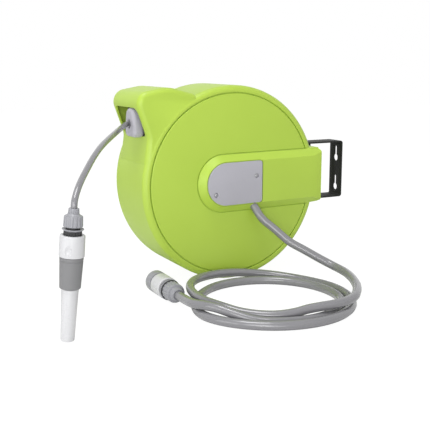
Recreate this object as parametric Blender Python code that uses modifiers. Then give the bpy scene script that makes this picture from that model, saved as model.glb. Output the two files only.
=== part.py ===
"""Wall-mounted retractable hose reel, as separate pieces.

Metres, +Z up. The origin is the middle of the wall bracket's back face, +X runs into the wall
and -Y is the side with the arm. Pieces of the drum are placed from the drum's axis, which runs
along Y through DRUM.
"""
import bmesh
import bpy
import math
from mathutils import Matrix, Vector

# Driving sizes of the drum casing, and its place beside the swivel pin
DRUM_RADIUS = 0.165
DRUM_FRONT = 0.056
DRUM_REAR = 0.069
DRUM_DROP = 0.006
PIVOT_REACH = 0.074
PIVOT_CLEARANCE = 0.013
DRUM = Vector((-(PIVOT_REACH + PIVOT_CLEARANCE + DRUM_RADIUS), 0.0, -DRUM_DROP))
WALL = 0.003
FACE_MARGIN = 0.012
FACE_RADIUS = DRUM_RADIUS - FACE_MARGIN
EDGE_ROUND = 0.009
SEAM_GAP = 0.0003
GROOVE_CHAMFER = 0.0015
LEDGE_DEPTH = 0.0027
REAR_COVER_DEPTH = 0.0057
REAR_RIM_DEPTH = 0.006
REAR_BOSS_RADIUS = 0.036
REAR_BOSS_RISE = 0.003
REAR_SCREW_COUNT = 4
REAR_SCREW_START = math.radians(10)
REAR_SCREW_INSET = 0.0115
SCREW_RADIUS = 0.002
SCREW_HEAD_RADIUS = 0.0035
SCREW_BOSS_RADIUS = 0.0056
DRUM_STEPS = 40
SCREW_BOSS_LENGTH = 0.016
SCREW_WEB_RADIUS = 0.004

# Hose hood, its mouth and the hose guide
HOOD_FRONT = 0.007 - DRUM_FRONT
HOOD_REAR = DRUM_REAR - 0.008
HOOD_ROUND = 0.010
MOUTH_MARGIN = 0.008
MOUTH_REAR_MARGIN = 0.012
MOUTH_DROP = 0.035
MOUTH_HEIGHT = 0.045
MOUTH_ROUND = 0.009
GUIDE_INSET = 0.030
GUIDE_RISE = 0.020
GUIDE_DEPTH = 0.020
GUIDE_OVERLAP = 0.0035
GUIDE_WALL = 0.003
ROLLER_RADIUS = 0.007
ROLLER_PIN_RADIUS = 0.0022
ROLLER_PLAY = 0.0004
NIP_PLAY = 0.0008
GUIDE_REAR_PLAY = 0.0013

# Hood outline: how far each corner lies in from the drum's left and down from its top, and its radius
HOOD_OUTLINE = [
    (0.105, 0.065, 0),
    (0.099, 0.014, 0),
    (0.047, 0.0025, 0.060),
    (-0.0115, 0.015, 0.022),
    (0.0115, 0.082, 0.025),
    (0.004, 0.129, 0),
    (0.040, 0.130, 0),
]

# Arm, cover plate and supply exit
ARM_RISE = 0.012
ARM_LEFT = -0.068
ARM_RIGHT = DRUM_RADIUS + 0.003
ARM_TOP = 0.051
ARM_BOTTOM = -0.045
ARM_SLOPE = 0.012
ARM_WALL = 0.0025
ARM_END_ROUND = 0.0475
END_BOX_LEFT = DRUM_RADIUS - 0.019
END_BOX_MARGIN = 0.003
END_BOX_REAR = 0.041 - DRUM_FRONT
END_BOX_ROUND = 0.003
PLATE_RIGHT = 0.049
PLATE_CORNER = 0.006
PLATE_MARGIN = 0.0006
PLATE_THICKNESS = 0.0016
PLATE_SEAT = 0.001
PLATE_GAP = 0.0003
PLATE_SCREW_RADIUS = 0.003
PLATE_SCREW_SPOTS = [(-0.040, -0.015), (0.037, 0.013)]
LEAD_EXIT = Vector((0.036, -DRUM_FRONT - 0.006, ARM_BOTTOM + 0.005))
LEAD_DIRECTION = Vector((0.28, -0.56, -0.78)).normalized()
LEAD_BACK = 0.030
GROMMET_WALL = 0.002
GROMMET_LENGTH = 0.007
GROMMET_BACK = 0.015
CLAMP_WALL = 0.0015
CLAMP_LENGTH = 0.008

# Wall bracket and swivel
BRACKET_SHEET = 0.003
BRACKET_WIDTH = 0.036
BRACKET_HEIGHT = 0.105
BRACKET_BEND = 0.005
PIN_RADIUS = 0.004
PIN_HEAD_RADIUS = 0.0075
PIN_HEAD_HEIGHT = 0.003
PIN_TAIL = 0.007
CLIP_RADIUS = 0.007
CLIP_THICKNESS = 0.0015
KEYHOLE_SPACING = 0.055
KEYHOLE_LENGTH = 0.0285
KEYHOLE_RADIUS = 0.0065
KEYHOLE_SLOT_RADIUS = 0.0032
WASHER_RADIUS = 0.010
WASHER_THICKNESS = 0.0012
KNUCKLE_RADIUS = 0.012
PIN_BUSH_WALL = 0.002
SADDLE_TOP = 0.040
SADDLE_BOTTOM = -0.028
SADDLE_HALF_WIDTH = 0.0115
KNUCKLE_BOLT_RADIUS = 0.0025
KNUCKLE_BOLT_HEAD = 0.005
KNUCKLE_BOLT_HEIGHT = 0.003
KNUCKLE_BOLT_LENGTH = 0.009
KNUCKLE_BOLT_Z = [-0.014, 0.026]

# Axle, spool, ratchet and power spring
AXLE_RADIUS = 0.008
AXLE_BORE = 0.004
RUNNING_GAP = 0.0003
SLIP_FIT = 0.0002
HUB_BUSH_WALL = 0.0035
HUB_BUSH_LENGTH = 0.010
HUB_WALL = 0.0035
SPOOL_FRONT = 0.026 - DRUM_FRONT
SPOOL_REAR = DRUM_REAR - 0.016
FLANGE_CLEARANCE = 0.027
FLANGE_RADIUS = DRUM_RADIUS - FLANGE_CLEARANCE
FLANGE_THICKNESS = 0.003
CORE_RADIUS = 0.060
CORE_WALL = 0.003
HUB_WEB = 0.004
WOUND_RADIUS = 0.096
RATCHET_THICKNESS = 0.0055
RATCHET_ROOT = 0.057
RATCHET_TIP = 0.062
RATCHET_BORE = 0.050
RATCHET_TEETH = 24
PAWL_PIVOT = Vector((0.030, 0.0, 0.072))
PAWL_PIN_RADIUS = 0.0025
PAWL_BOSS_RADIUS = 0.006
PAWL_THICKNESS = 0.004
PAWL_TIP = (0.002, 0.0645)
PAWL_TIP_WIDTH = 0.004
PAWL_SPRING_WIRE = 0.0005
PAWL_SPRING_TURNS = 3
PAWL_STAND = 0.0125
SPRING_CUP_RADIUS = 0.055
SPRING_CUP_WALL = 0.0025
SPRING_CUP_DEPTH = 0.0105
ARBOR_RADIUS = 0.012
SPRING_TURNS = 6
SPRING_STRIP = 0.0006
SPRING_WIDTH = 0.007
ELBOW_RADIUS = 0.013
ELBOW_LENGTH = 0.0095
ELBOW_Y = 0.014 - DRUM_FRONT
ELBOW_PIPE_RADIUS = 0.0063
UNION_RADIUS = 0.0105
UNION_LENGTH = 0.008
UNION_PIPE_RADIUS = 0.003
UNION_PIPE_GAP = 0.0013
FACE_BOSS_LENGTH = 0.004

# Hoses, nozzle and tap connector
SUPPLY_RADIUS = 0.007
OUTLET_RADIUS = 0.0045
FLOOR = -0.166
COIL_CENTRE = Vector((-0.020, -0.2055))
STOPPER_INSET = 0.002
STOPPER_Y = SPOOL_FRONT + 0.012
STOPPER_SIZE = Vector((0.020, 0.042, MOUTH_HEIGHT + 0.001))
STOPPER_ROUND = 0.008
STOPPER_RECESS = 0.006
STOPPER_FLARE = 0.008
NOZZLE_FOOT = Vector((-0.3490, -0.2250, -0.1648))
NOZZLE_UP = Vector((0.073, -0.038, 1.0)).normalized()
NOZZLE_TOP = 0.1815
NUT_LOW = 0.1570
ADAPTOR_LOW = 0.1470
COLLAR_LOW = 0.1165
GRIP_LOW = 0.0730
EDGE = 0.001
SEAL_LENGTH = 0.0025
NUT_RADIUS = 0.0130
NUT_NECK_RADIUS = 0.0075
ADAPTOR_RADIUS = 0.0100
ADAPTOR_FLANGE_RADIUS = 0.0148
SPIGOT_RADIUS = 0.0075
COLLAR_RADIUS = 0.0170
COLLAR_BORE = 0.0106
GRIP_TOP_RADIUS = 0.0160
GRIP_END_RADIUS = 0.0143
GRIP_BORE = 0.0125
NECK_RADIUS = 0.0103
NECK_BORE = 0.0082
NECK_LENGTH = 0.018
TIP_RADIUS = 0.0117
TIP_STEM_RADIUS = 0.0100
TIP_STEM_LENGTH = 0.030
TIP_END_RADIUS = 0.0087
TIP_BORE = 0.0060
JET_BORE = 0.0040
JET_LENGTH = 0.010
CONNECTOR_START = Vector((-0.1515, -0.156, -0.1480))
CONNECTOR_DIRECTION = Vector((0.02, 1.0, 0.0)).normalized()
TAP_STRAIGHT = 0.016
TAP_NUT_LENGTH = 0.030
TAP_NUT_RADIUS = 0.0155
TAP_LENGTH = 0.093
TAP_RADIUS = 0.0176
TAP_CORE_RADIUS = 0.0120
TAP_BORE = 0.0060
TAP_FLANGE_RADIUS = 0.0142
TAP_COLLAR_LOW = 0.0105
TAP_COLLAR_HIGH = 0.042
TAP_SEAL_LENGTH = 0.003
TAP_TAIL_RADIUS = 0.0102
TAP_RING_LOW = 0.046

# Route of the outlet hose from the stopper to the nozzle
OUTLET_ROUTE = [
    (-0.1820, -0.0255, 0.1040),
    (-0.2202, -0.0770, 0.0952),
    (-0.2576, -0.1272, 0.0843),
    (-0.2820, -0.1599, 0.0725),
    (-0.3032, -0.1883, 0.0579),
    (-0.3190, -0.2095, 0.0453),
    (-0.3297, -0.2239, 0.0330),
]

# Route of the supply lead from the arm down to the coil
LEAD_ROUTE = [
    (0.0438, -0.0766, -0.0600),
    (0.0599, -0.0932, -0.0777),
    (0.0767, -0.1116, -0.0966),
    (0.0964, -0.1311, -0.1103),
    (0.1154, -0.1511, -0.1236),
    (0.1275, -0.1700, -0.1320),
]

# Turn angle in degrees, radius and height of the hose's middle above the floor, clockwise from above
COIL_STATIONS = [
    (2, 0.1480, 0.0310),
    (-14, 0.1400, 0.0290),
    (-36, 0.1345, 0.0265),
    (-50, 0.1320, 0.0245),
    (-62, 0.1245, 0.0232),
    (-75, 0.1135, 0.0225),
    (-88, 0.1030, 0.0194),
    (-100, 0.1000, 0.0155),
    (-120, 0.0995, 0.0130),
    (-140, 0.1004, 0.0140),
    (-150, 0.1030, 0.0160),
    (-160, 0.1065, 0.0190),
    (-170, 0.1105, 0.0210),
    (-180, 0.1150, 0.0220),
    (-195, 0.1180, 0.0228),
    (-210, 0.1222, 0.0228),
    (-225, 0.1268, 0.0222),
    (-245, 0.1320, 0.0200),
    (-270, 0.1325, 0.0175),
    (-295, 0.1310, 0.0125),
    (-320, 0.1285, 0.0083),
    (-340, 0.1270, 0.0073),
    (-360, 0.1270, 0.0073),
    (-420, 0.1285, 0.0073),
    (-490, 0.1293, 0.0073),
    (-510, 0.1305, 0.0073),
    (-525, 0.1302, 0.0073),
    (-540, 0.1240, 0.0073),
    (-555, 0.1160, 0.0073),
    (-570, 0.1105, 0.0073),
    (-590, 0.1075, 0.0073),
    (-660, 0.1075, 0.0073),
    (-720, 0.1090, 0.0073),
    (-760, 0.1120, 0.0073),
    (-790, 0.1130, 0.0073),
    (-830, 0.1133, 0.0076),
    (-850, 0.1141, 0.0090),
    (-860, 0.1158, 0.0130),
    (-870, 0.1190, 0.0180),
    (-880, 0.1240, 0.0222),
    (-890, 0.1297, 0.0224),
    (-900, 0.1345, 0.0200),
]

# Colours, roughness and metallic value of each material
GREEN = ((0.43, 0.63, 0.09), 0.45, 0.0)
GREY = ((0.43, 0.42, 0.46), 0.45, 0.0)
DARK_GREY = ((0.20, 0.20, 0.21), 0.5, 0.0)
WHITE = ((0.80, 0.80, 0.80), 0.35, 0.0)
BLACK = ((0.02, 0.02, 0.02), 0.45, 0.0)
BLACK_STEEL = ((0.015, 0.015, 0.016), 0.4, 0.6)
STEEL = ((0.55, 0.55, 0.56), 0.3, 1.0)
BRASS = ((0.62, 0.45, 0.16), 0.35, 1.0)
HOSE_GREY = ((0.36, 0.35, 0.38), 0.4, 0.0)
RUBBER = ((0.03, 0.03, 0.03), 0.7, 0.0)

for old in list(bpy.data.objects):
    bpy.data.objects.remove(old, do_unlink=True)

parts = bpy.data.collections.new("retractable_hose_reel")
cutters = bpy.data.collections.new("cutters")
bpy.context.scene.collection.children.link(parts)
bpy.context.scene.collection.children.link(cutters)


def at(x, y, z):
    """A point given from the drum's axis."""
    return DRUM + Vector((x, y, z))


def axis_empty(name, place, parent=None):
    empty = bpy.data.objects.new(name, None)
    empty.location = place
    if parent:
        empty.parent = parent
        empty.location = place - world_place(parent)
    parts.objects.link(empty)
    return empty


def world_place(obj):
    place = obj.location.copy()
    while obj.parent:
        obj = obj.parent
        place += obj.location
    return place


def finish(obj, name, look, holder):
    """Name a piece, give it its own material and hang it on its body's empty."""
    colour, roughness, metallic = look
    material = bpy.data.materials.new(name)
    material.use_nodes = True
    shader = material.node_tree.nodes["Principled BSDF"]
    shader.inputs["Base Color"].default_value = (*colour, 1.0)
    shader.inputs["Roughness"].default_value = roughness
    shader.inputs["Metallic"].default_value = metallic
    obj.name = name
    obj.data.name = name
    obj.data.materials.clear()
    obj.data.materials.append(material)
    obj.data.shade_smooth()
    obj.data.set_sharp_from_angle(angle=math.radians(35))
    for collection in list(obj.users_collection):
        collection.objects.unlink(obj)
    parts.objects.link(obj)
    obj.parent = holder
    obj.location = obj.location - world_place(holder)
    return obj


def solid(obj):
    """The evaluated mesh of a profile or curve as an object of its own, closed and facing out."""
    bpy.context.view_layer.update()
    graph = bpy.context.evaluated_depsgraph_get()
    mesh = bpy.data.meshes.new_from_object(obj.evaluated_get(graph))
    made = bpy.data.objects.new("solid", mesh)
    made.matrix_world = obj.matrix_world
    bpy.data.objects.remove(obj, do_unlink=True)
    shell = bmesh.new()
    shell.from_mesh(mesh)
    bmesh.ops.remove_doubles(shell, verts=shell.verts, dist=0.00001)
    bmesh.ops.dissolve_limit(shell, angle_limit=0.0005, verts=shell.verts, edges=shell.edges)
    bmesh.ops.recalc_face_normals(shell, faces=shell.faces)
    shell.to_mesh(mesh)
    shell.free()
    cutters.objects.link(made)
    return made


def turned(profile, place, axis, steps=32):
    """A turned solid: (radius, height along the axis) points, swept round the axis."""
    mesh = bpy.data.meshes.new("profile")
    points = [(radius, 0.0, height) for radius, height in profile]
    edges = [(i, i + 1) for i in range(len(points) - 1)]
    if profile[0][0] > 0:
        edges.append((len(points) - 1, 0))
    mesh.from_pydata(points, edges, [])
    obj = bpy.data.objects.new("profile", mesh)
    parts.objects.link(obj)
    obj.location = place
    obj.rotation_mode = "QUATERNION"
    obj.rotation_quaternion = Vector(axis).to_track_quat("Z", "Y")
    screw = obj.modifiers.new("turn", "SCREW")
    screw.steps = steps
    screw.render_steps = steps
    screw.use_merge_vertices = True
    screw.merge_threshold = 0.00001
    return solid(obj)


def ring(inner, outer, low, high, place, axis, steps=20):
    return turned([(inner, high), (outer, high), (outer, low), (inner, low)], place, axis, steps)


def rod(radius, low, high, place, axis, steps=16):
    return turned([(0, high), (radius, high), (radius, low), (0, low)], place, axis, steps)


def rounded(corners, inset=0.0, facet=22.5):
    """Outline through (x, y, radius) corners given anticlockwise, moved in by inset."""
    count = len(corners)
    lines = []
    for i in range(count):
        a = Vector(corners[i][:2])
        b = Vector(corners[(i + 1) % count][:2])
        run = (b - a).normalized()
        lines.append((a + Vector((-run.y, run.x)) * inset, run))
    points = []
    for i in range(count):
        p, run_in = lines[i - 1]
        q, run_out = lines[i]
        cross = run_in.x * run_out.y - run_in.y * run_out.x
        gap = q - p
        reach = (gap.x * run_out.y - gap.y * run_out.x) / cross
        corner = p + run_in * reach
        turn = math.atan2(cross, run_in.dot(run_out))
        radius = corners[i][2]
        if radius:
            radius = radius - inset if turn > 0 else radius + inset
        if radius <= 0:
            points.append(corner)
            continue
        setback = radius * math.tan(abs(turn) / 2)
        side = 1 if turn > 0 else -1
        centre = corner - run_in * setback + Vector((-run_in.y, run_in.x)) * radius * side
        spoke = (corner - run_in * setback) - centre
        steps = max(1, round(math.degrees(abs(turn)) / facet))
        for k in range(steps + 1):
            points.append(centre + Matrix.Rotation(turn * k / steps, 2) @ spoke)
    return points


def slab(outline, low, high, axis, origin=(0, 0, 0)):
    """A flat outline as a slab along axis: X takes (y, z) points, Y takes (x, z), Z takes (x, y)."""
    curve = bpy.data.curves.new("outline", "CURVE")
    curve.dimensions = "2D"
    curve.fill_mode = "BOTH"
    curve.extrude = (high - low) / 2
    curve.render_resolution_u = 0
    spline = curve.splines.new("POLY")
    spline.points.add(len(outline) - 1)
    for point, spot in zip(outline, spline.points):
        spot.co = (point[0], point[1], 0, 1)
    spline.use_cyclic_u = True
    obj = bpy.data.objects.new("outline", curve)
    parts.objects.link(obj)
    middle = (high + low) / 2
    turns = {"X": (math.pi / 2, 0, math.pi / 2), "Y": (math.pi / 2, 0, 0), "Z": (0, 0, 0)}
    offset = {"X": Vector((middle, 0, 0)), "Y": Vector((0, middle, 0)), "Z": Vector((0, 0, middle))}
    obj.rotation_euler = turns[axis]
    obj.location = Vector(origin) + offset[axis]
    return solid(obj)


def box(low, high, origin=(0, 0, 0)):
    bpy.ops.mesh.primitive_cube_add(size=1)
    obj = bpy.context.object
    low = Vector(low)
    high = Vector(high)
    obj.data.transform(Matrix.Diagonal((*(high - low), 1)))
    obj.location = Vector(origin) + (low + high) / 2
    for collection in list(obj.users_collection):
        collection.objects.unlink(obj)
    cutters.objects.link(obj)
    return obj


def bevelled(obj, width, segments=2, angle=40):
    bevel = obj.modifiers.new("round", "BEVEL")
    bevel.width = width
    bevel.segments = segments
    bevel.limit_method = "ANGLE"
    bevel.angle_limit = math.radians(angle)
    return obj


def combine(obj, other, operation, solver="EXACT"):
    """Boolean obj with other, which stays in the cutters' collection as a wire guide."""
    other.display_type = "WIRE"
    other.hide_render = True
    change = obj.modifiers.new(operation.lower(), "BOOLEAN")
    change.operation = operation
    change.solver = solver
    change.object = other
    return obj


def cut(obj, *others, solver="EXACT"):
    for other in others:
        combine(obj, other, "DIFFERENCE", solver)
    return obj


def join(obj, *others, solver="EXACT"):
    for other in others:
        combine(obj, other, "UNION", solver)
    return obj


def smooth_path(route, spacing, start_direction=None, end_direction=None):
    """Points at an even spacing on a smooth curve through the route's points."""
    knots = [Vector(p) for p in route]
    if start_direction:
        knots.insert(0, knots[1] - start_direction * 2 * (knots[1] - knots[0]).length)
    else:
        knots.insert(0, knots[0] * 2 - knots[1])
    if end_direction:
        knots.append(knots[-2] + end_direction * 2 * (knots[-1] - knots[-2]).length)
    else:
        knots.append(knots[-1] * 2 - knots[-2])
    dense = []
    for a, b, c, d in zip(knots, knots[1:], knots[2:], knots[3:]):
        for k in range(24):
            t = k / 24
            dense.append(0.5 * (2 * b + (c - a) * t + (2 * a - 5 * b + 4 * c - d) * t * t
                                + (3 * b - a - 3 * c + d) * t * t * t))
    dense.append(knots[-2].copy())
    return evenly(dense, spacing)


def evenly(dense, spacing):
    """The same line with points at an even spacing."""
    lengths = [0.0]
    for a, b in zip(dense, dense[1:]):
        lengths.append(lengths[-1] + (b - a).length)
    count = max(2, round(lengths[-1] / spacing))
    points = []
    i = 0
    for k in range(count + 1):
        want = lengths[-1] * k / count
        while i < len(dense) - 2 and lengths[i + 1] < want:
            i += 1
        share = (want - lengths[i]) / (lengths[i + 1] - lengths[i])
        points.append(dense[i].lerp(dense[i + 1], share))
    return points


def tube(points, radius, resolution=2):
    """A round tube along points, with closed ends."""
    curve = bpy.data.curves.new("tube", "CURVE")
    curve.dimensions = "3D"
    curve.bevel_depth = radius
    curve.bevel_resolution = resolution
    curve.use_fill_caps = True
    curve.render_resolution_u = 0
    spline = curve.splines.new("POLY")
    spline.points.add(len(points) - 1)
    for point, spot in zip(points, spline.points):
        spot.co = (*point, 1)
    obj = bpy.data.objects.new("tube", curve)
    parts.objects.link(obj)
    obj.location = (0, 0, 0)
    return solid(obj)


def hose_line(start, start_direction, route, end, end_direction, straight, spacing):
    """Points of a hose that leaves its start and meets its end squarely."""
    middle = [start + start_direction * straight, *route, end - end_direction * straight]
    return [start] + smooth_path(middle, spacing, start_direction, end_direction) + [end]


def path_length(points):
    return sum((b - a).length for a, b in zip(points, points[1:]))


# Bodies: each empty sits on the axis that its body turns about
PIVOT = Vector((-PIVOT_REACH, 0, 0))
bracket = axis_empty("bracket_body", Vector((0, 0, 0)))
casing = axis_empty("casing_body", PIVOT, bracket)
spool = axis_empty("spool_body", DRUM, casing)

# Wall bracket: one strip of steel bent to a U, with two keyholes and the pin's holes
half_height = BRACKET_HEIGHT / 2
flange_end = -PIVOT_REACH - BRACKET_WIDTH / 2
bracket_corners = [
    (0, -half_height, BRACKET_BEND),
    (0, half_height, BRACKET_BEND),
    (flange_end, half_height, 0),
    (flange_end, half_height - BRACKET_SHEET, 0),
    (-BRACKET_SHEET, half_height - BRACKET_SHEET, BRACKET_BEND - BRACKET_SHEET),
    (-BRACKET_SHEET, BRACKET_SHEET - half_height, BRACKET_BEND - BRACKET_SHEET),
    (flange_end, BRACKET_SHEET - half_height, 0),
    (flange_end, -half_height, 0),
]
wall_bracket = slab(rounded(bracket_corners, facet=22.5), -BRACKET_WIDTH / 2, BRACKET_WIDTH / 2, "Y")
end_round = BRACKET_WIDTH / 2 - 0.0001
plan_corners = [
    (flange_end, -BRACKET_WIDTH / 2, end_round),
    (0.01, -BRACKET_WIDTH / 2, 0),
    (0.01, BRACKET_WIDTH / 2, 0),
    (flange_end, BRACKET_WIDTH / 2, end_round),
]
combine(wall_bracket, slab(rounded(plan_corners, inset=-0.00002), -0.1, 0.1, "Z"), "INTERSECT")


def keyhole(middle):
    """Outline of a keyhole: a round hole below a narrower slot, in (y, z)."""
    round_z = middle - KEYHOLE_LENGTH / 2 + KEYHOLE_RADIUS
    slot_z = middle + KEYHOLE_LENGTH / 2 - KEYHOLE_SLOT_RADIUS
    meet = math.asin(KEYHOLE_SLOT_RADIUS / KEYHOLE_RADIUS)
    points = []
    for k in range(21):
        angle = math.pi / 2 + meet + (2 * math.pi - 2 * meet) * k / 20
        points.append((KEYHOLE_RADIUS * math.cos(angle), round_z + KEYHOLE_RADIUS * math.sin(angle)))
    for k in range(9):
        angle = math.pi * k / 8
        points.append((KEYHOLE_SLOT_RADIUS * math.cos(angle), slot_z + KEYHOLE_SLOT_RADIUS * math.sin(angle)))
    return points


for side in (-1, 1):
    cut(wall_bracket, slab(keyhole(side * KEYHOLE_SPACING / 2), -0.01, 0.01, "X"))
cut(wall_bracket, rod(PIN_RADIUS + RUNNING_GAP, -0.1, 0.1, PIVOT, (0, 0, 1)))
finish(wall_bracket, "wall_bracket", BLACK_STEEL, bracket)

# Swivel pin with its head on the upper flange, held below by a clip
pin_bottom = -half_height - PIN_TAIL
swivel_pin = turned([
    (0, half_height + PIN_HEAD_HEIGHT + SEAM_GAP),
    (PIN_HEAD_RADIUS - 0.001, half_height + PIN_HEAD_HEIGHT + SEAM_GAP),
    (PIN_HEAD_RADIUS, half_height + PIN_HEAD_HEIGHT - 0.001),
    (PIN_HEAD_RADIUS, half_height + SEAM_GAP),
    (PIN_RADIUS, half_height + SEAM_GAP),
    (PIN_RADIUS, pin_bottom + 0.001),
    (PIN_RADIUS - 0.001, pin_bottom),
    (0, pin_bottom),
], PIVOT, (0, 0, 1), 20)
finish(swivel_pin, "swivel_pin", STEEL, bracket)
clip_top = -half_height - SEAM_GAP
pin_clip = ring(PIN_RADIUS + 0.0001, CLIP_RADIUS, clip_top - CLIP_THICKNESS, clip_top, PIVOT, (0, 0, 1), 20)
finish(pin_clip, "pin_clip", STEEL, bracket)

# Two washers between the bracket's flanges and the knuckle
inner_top = half_height - BRACKET_SHEET
for name, low in (
    ("washer_upper", inner_top - SEAM_GAP - WASHER_THICKNESS),
    ("washer_lower", -inner_top + SEAM_GAP),
):
    washer = ring(PIN_RADIUS + RUNNING_GAP, WASHER_RADIUS, low, low + WASHER_THICKNESS, PIVOT, (0, 0, 1), 20)
    finish(washer, name, WHITE, bracket)


def drum_outer(extra, low, high):
    """The drum's outside as a solid, grown by extra, with its front edge rounded."""
    profile = [(0, high), (DRUM_RADIUS + extra, high)]
    front = -DRUM_FRONT - extra
    centre_r = DRUM_RADIUS - EDGE_ROUND
    centre_y = -DRUM_FRONT + EDGE_ROUND
    for k in range(5):
        angle = math.pi / 2 * k / 4
        radius = EDGE_ROUND + extra
        profile.append((centre_r + radius * math.cos(angle), centre_y - radius * math.sin(angle)))
    profile.append((0, min(front, low)))
    if low < front:
        profile[-2] = (profile[-2][0], low)
    return turned(profile, DRUM, (0, 1, 0), DRUM_STEPS)


# Drum housing: ring wall with its front lip, the hood over the hose, and the mouth
housing_rear = DRUM_REAR - REAR_COVER_DEPTH
hood_corners = [(inset - DRUM_RADIUS, DRUM_RADIUS - drop, radius) for inset, drop, radius in HOOD_OUTLINE]
housing = drum_outer(0, -DRUM_FRONT, housing_rear)
hood = bevelled(slab(rounded(hood_corners), HOOD_FRONT, HOOD_REAR, "Y", DRUM), HOOD_ROUND, 2)
join(housing, hood)
ledge_front = -DRUM_FRONT + WALL + SEAM_GAP
ledge_rear = ledge_front + LEDGE_DEPTH
lip = FACE_RADIUS + SEAM_GAP
cavity = turned([
    (0, DRUM_RADIUS / 2),
    (DRUM_RADIUS - WALL, DRUM_RADIUS / 2),
    (DRUM_RADIUS - WALL, ledge_rear),
    (FACE_RADIUS - 0.006, ledge_rear),
    (FACE_RADIUS - 0.006, ledge_front),
    (lip, ledge_front),
    (lip, -DRUM_FRONT + GROOVE_CHAMFER),
    (lip + 2 * GROOVE_CHAMFER, -DRUM_FRONT - GROOVE_CHAMFER),
    (lip + 2 * GROOVE_CHAMFER, -DRUM_RADIUS / 2),
    (0, -DRUM_RADIUS / 2),
], DRUM, (0, 1, 0), DRUM_STEPS)
hood_cavity = bevelled(
    slab(rounded(hood_corners, inset=WALL), HOOD_FRONT + WALL, HOOD_REAR - WALL, "Y", DRUM),
    HOOD_ROUND - WALL, 1)
mouth_top = DRUM_RADIUS - MOUTH_DROP
mouth_bottom = mouth_top - MOUTH_HEIGHT
mouth_corners = [
    (HOOD_FRONT + MOUTH_MARGIN, mouth_bottom, MOUTH_ROUND),
    (HOOD_REAR - MOUTH_REAR_MARGIN, mouth_bottom, MOUTH_ROUND),
    (HOOD_REAR - MOUTH_REAR_MARGIN, mouth_top, MOUTH_ROUND),
    (HOOD_FRONT + MOUTH_MARGIN, mouth_top, MOUTH_ROUND),
]
mouth = slab(rounded(mouth_corners), -DRUM_RADIUS - MOUTH_DROP, GUIDE_DEPTH - DRUM_RADIUS, "X", DRUM)
cut(housing, cavity, hood_cavity, mouth)
screw_circle = DRUM_RADIUS - REAR_SCREW_INSET
for k in range(REAR_SCREW_COUNT):
    angle = REAR_SCREW_START + 2 * math.pi * k / REAR_SCREW_COUNT
    spot = at(screw_circle * math.cos(angle), 0, screw_circle * math.sin(angle))
    web_reach = DRUM_RADIUS - WALL / 2 - SCREW_WEB_RADIUS
    web_spot = at(web_reach * math.cos(angle), 0, web_reach * math.sin(angle))
    boss = rod(SCREW_BOSS_RADIUS, housing_rear - REAR_RIM_DEPTH - SCREW_BOSS_LENGTH,
               housing_rear - REAR_RIM_DEPTH - SEAM_GAP, spot, (0, 1, 0))
    web = rod(SCREW_WEB_RADIUS, housing_rear - REAR_RIM_DEPTH - SCREW_BOSS_LENGTH + 0.001,
              housing_rear - REAR_RIM_DEPTH - SEAM_GAP - 0.001, web_spot, (0, 1, 0))
    hole = rod(SCREW_RADIUS + 0.0002, 0, 0.1, spot, (0, 1, 0), 16)
    join(housing, boss, web)
    cut(housing, hole)
for height in KNUCKLE_BOLT_Z:
    cut(housing, rod(KNUCKLE_BOLT_RADIUS + SLIP_FIT, DRUM_RADIUS - 5 * WALL, DRUM_RADIUS + WALL, at(0, 0, height),
                     (1, 0, 0), 16))
finish(housing, "drum_housing", GREEN, casing)

# Face cover: a disc on the housing's ledge, with bosses for the axle and the pawl's pin
face_front = -DRUM_FRONT
face_rear = face_front + WALL
face_cover = turned([
    (0, face_rear),
    (FACE_RADIUS, face_rear),
    (FACE_RADIUS, face_front + GROOVE_CHAMFER),
    (FACE_RADIUS - GROOVE_CHAMFER, face_front),
    (0, face_front),
], DRUM, (0, 1, 0), DRUM_STEPS)
axle_front = face_rear + SEAM_GAP
join(face_cover,
     rod(AXLE_RADIUS + 0.004, face_rear - 0.001, face_rear + FACE_BOSS_LENGTH, DRUM, (0, 1, 0)),
     rod(PAWL_PIN_RADIUS + 0.003, face_rear - 0.001, face_rear + PAWL_STAND, DRUM + PAWL_PIVOT, (0, 1, 0), 24))
supply_clear = SUPPLY_RADIUS + SEAM_GAP
exit_radius = supply_clear + GROMMET_WALL + SEAM_GAP
exit_place = DRUM + LEAD_EXIT
cut(face_cover,
    rod(AXLE_RADIUS + SLIP_FIT, axle_front - SEAM_GAP / 3, 0.0, DRUM, (0, 1, 0)),
    rod(PAWL_PIN_RADIUS + 0.0001, axle_front - SEAM_GAP / 3, 0.0, DRUM + PAWL_PIVOT, (0, 1, 0), 24),
    rod(exit_radius, -0.045, 0.010, exit_place, LEAD_DIRECTION, 24))
finish(face_cover, "face_cover", GREEN, casing)

# Rear cover: a lid with a locating rim inside the housing and a raised middle
cover_front = housing_rear + SEAM_GAP
rim_radius = DRUM_RADIUS - WALL - SEAM_GAP
profile = [(0, DRUM_REAR + REAR_BOSS_RISE), (REAR_BOSS_RADIUS - 0.002, DRUM_REAR + REAR_BOSS_RISE),
           (REAR_BOSS_RADIUS + 0.003, DRUM_REAR)]
rear_round = REAR_COVER_DEPTH - SEAM_GAP - 0.0004
for k in range(4):
    angle = math.pi / 2 * (1 - k / 3)
    profile.append((DRUM_RADIUS - rear_round + rear_round * math.cos(angle),
                    DRUM_REAR - rear_round + rear_round * math.sin(angle)))
profile += [
    (DRUM_RADIUS, cover_front),
    (rim_radius, cover_front),
    (rim_radius, housing_rear - REAR_RIM_DEPTH + SEAM_GAP),
    (rim_radius - WALL, housing_rear - REAR_RIM_DEPTH + SEAM_GAP),
    (rim_radius - WALL, DRUM_REAR - WALL),
    (0, DRUM_REAR - WALL),
]
rear_cover = turned(profile, DRUM, (0, 1, 0), DRUM_STEPS)
join(rear_cover, rod(AXLE_RADIUS + 0.004, DRUM_REAR - WALL - 0.0025, DRUM_REAR - WALL + 0.001,
                     DRUM, (0, 1, 0)))
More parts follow.
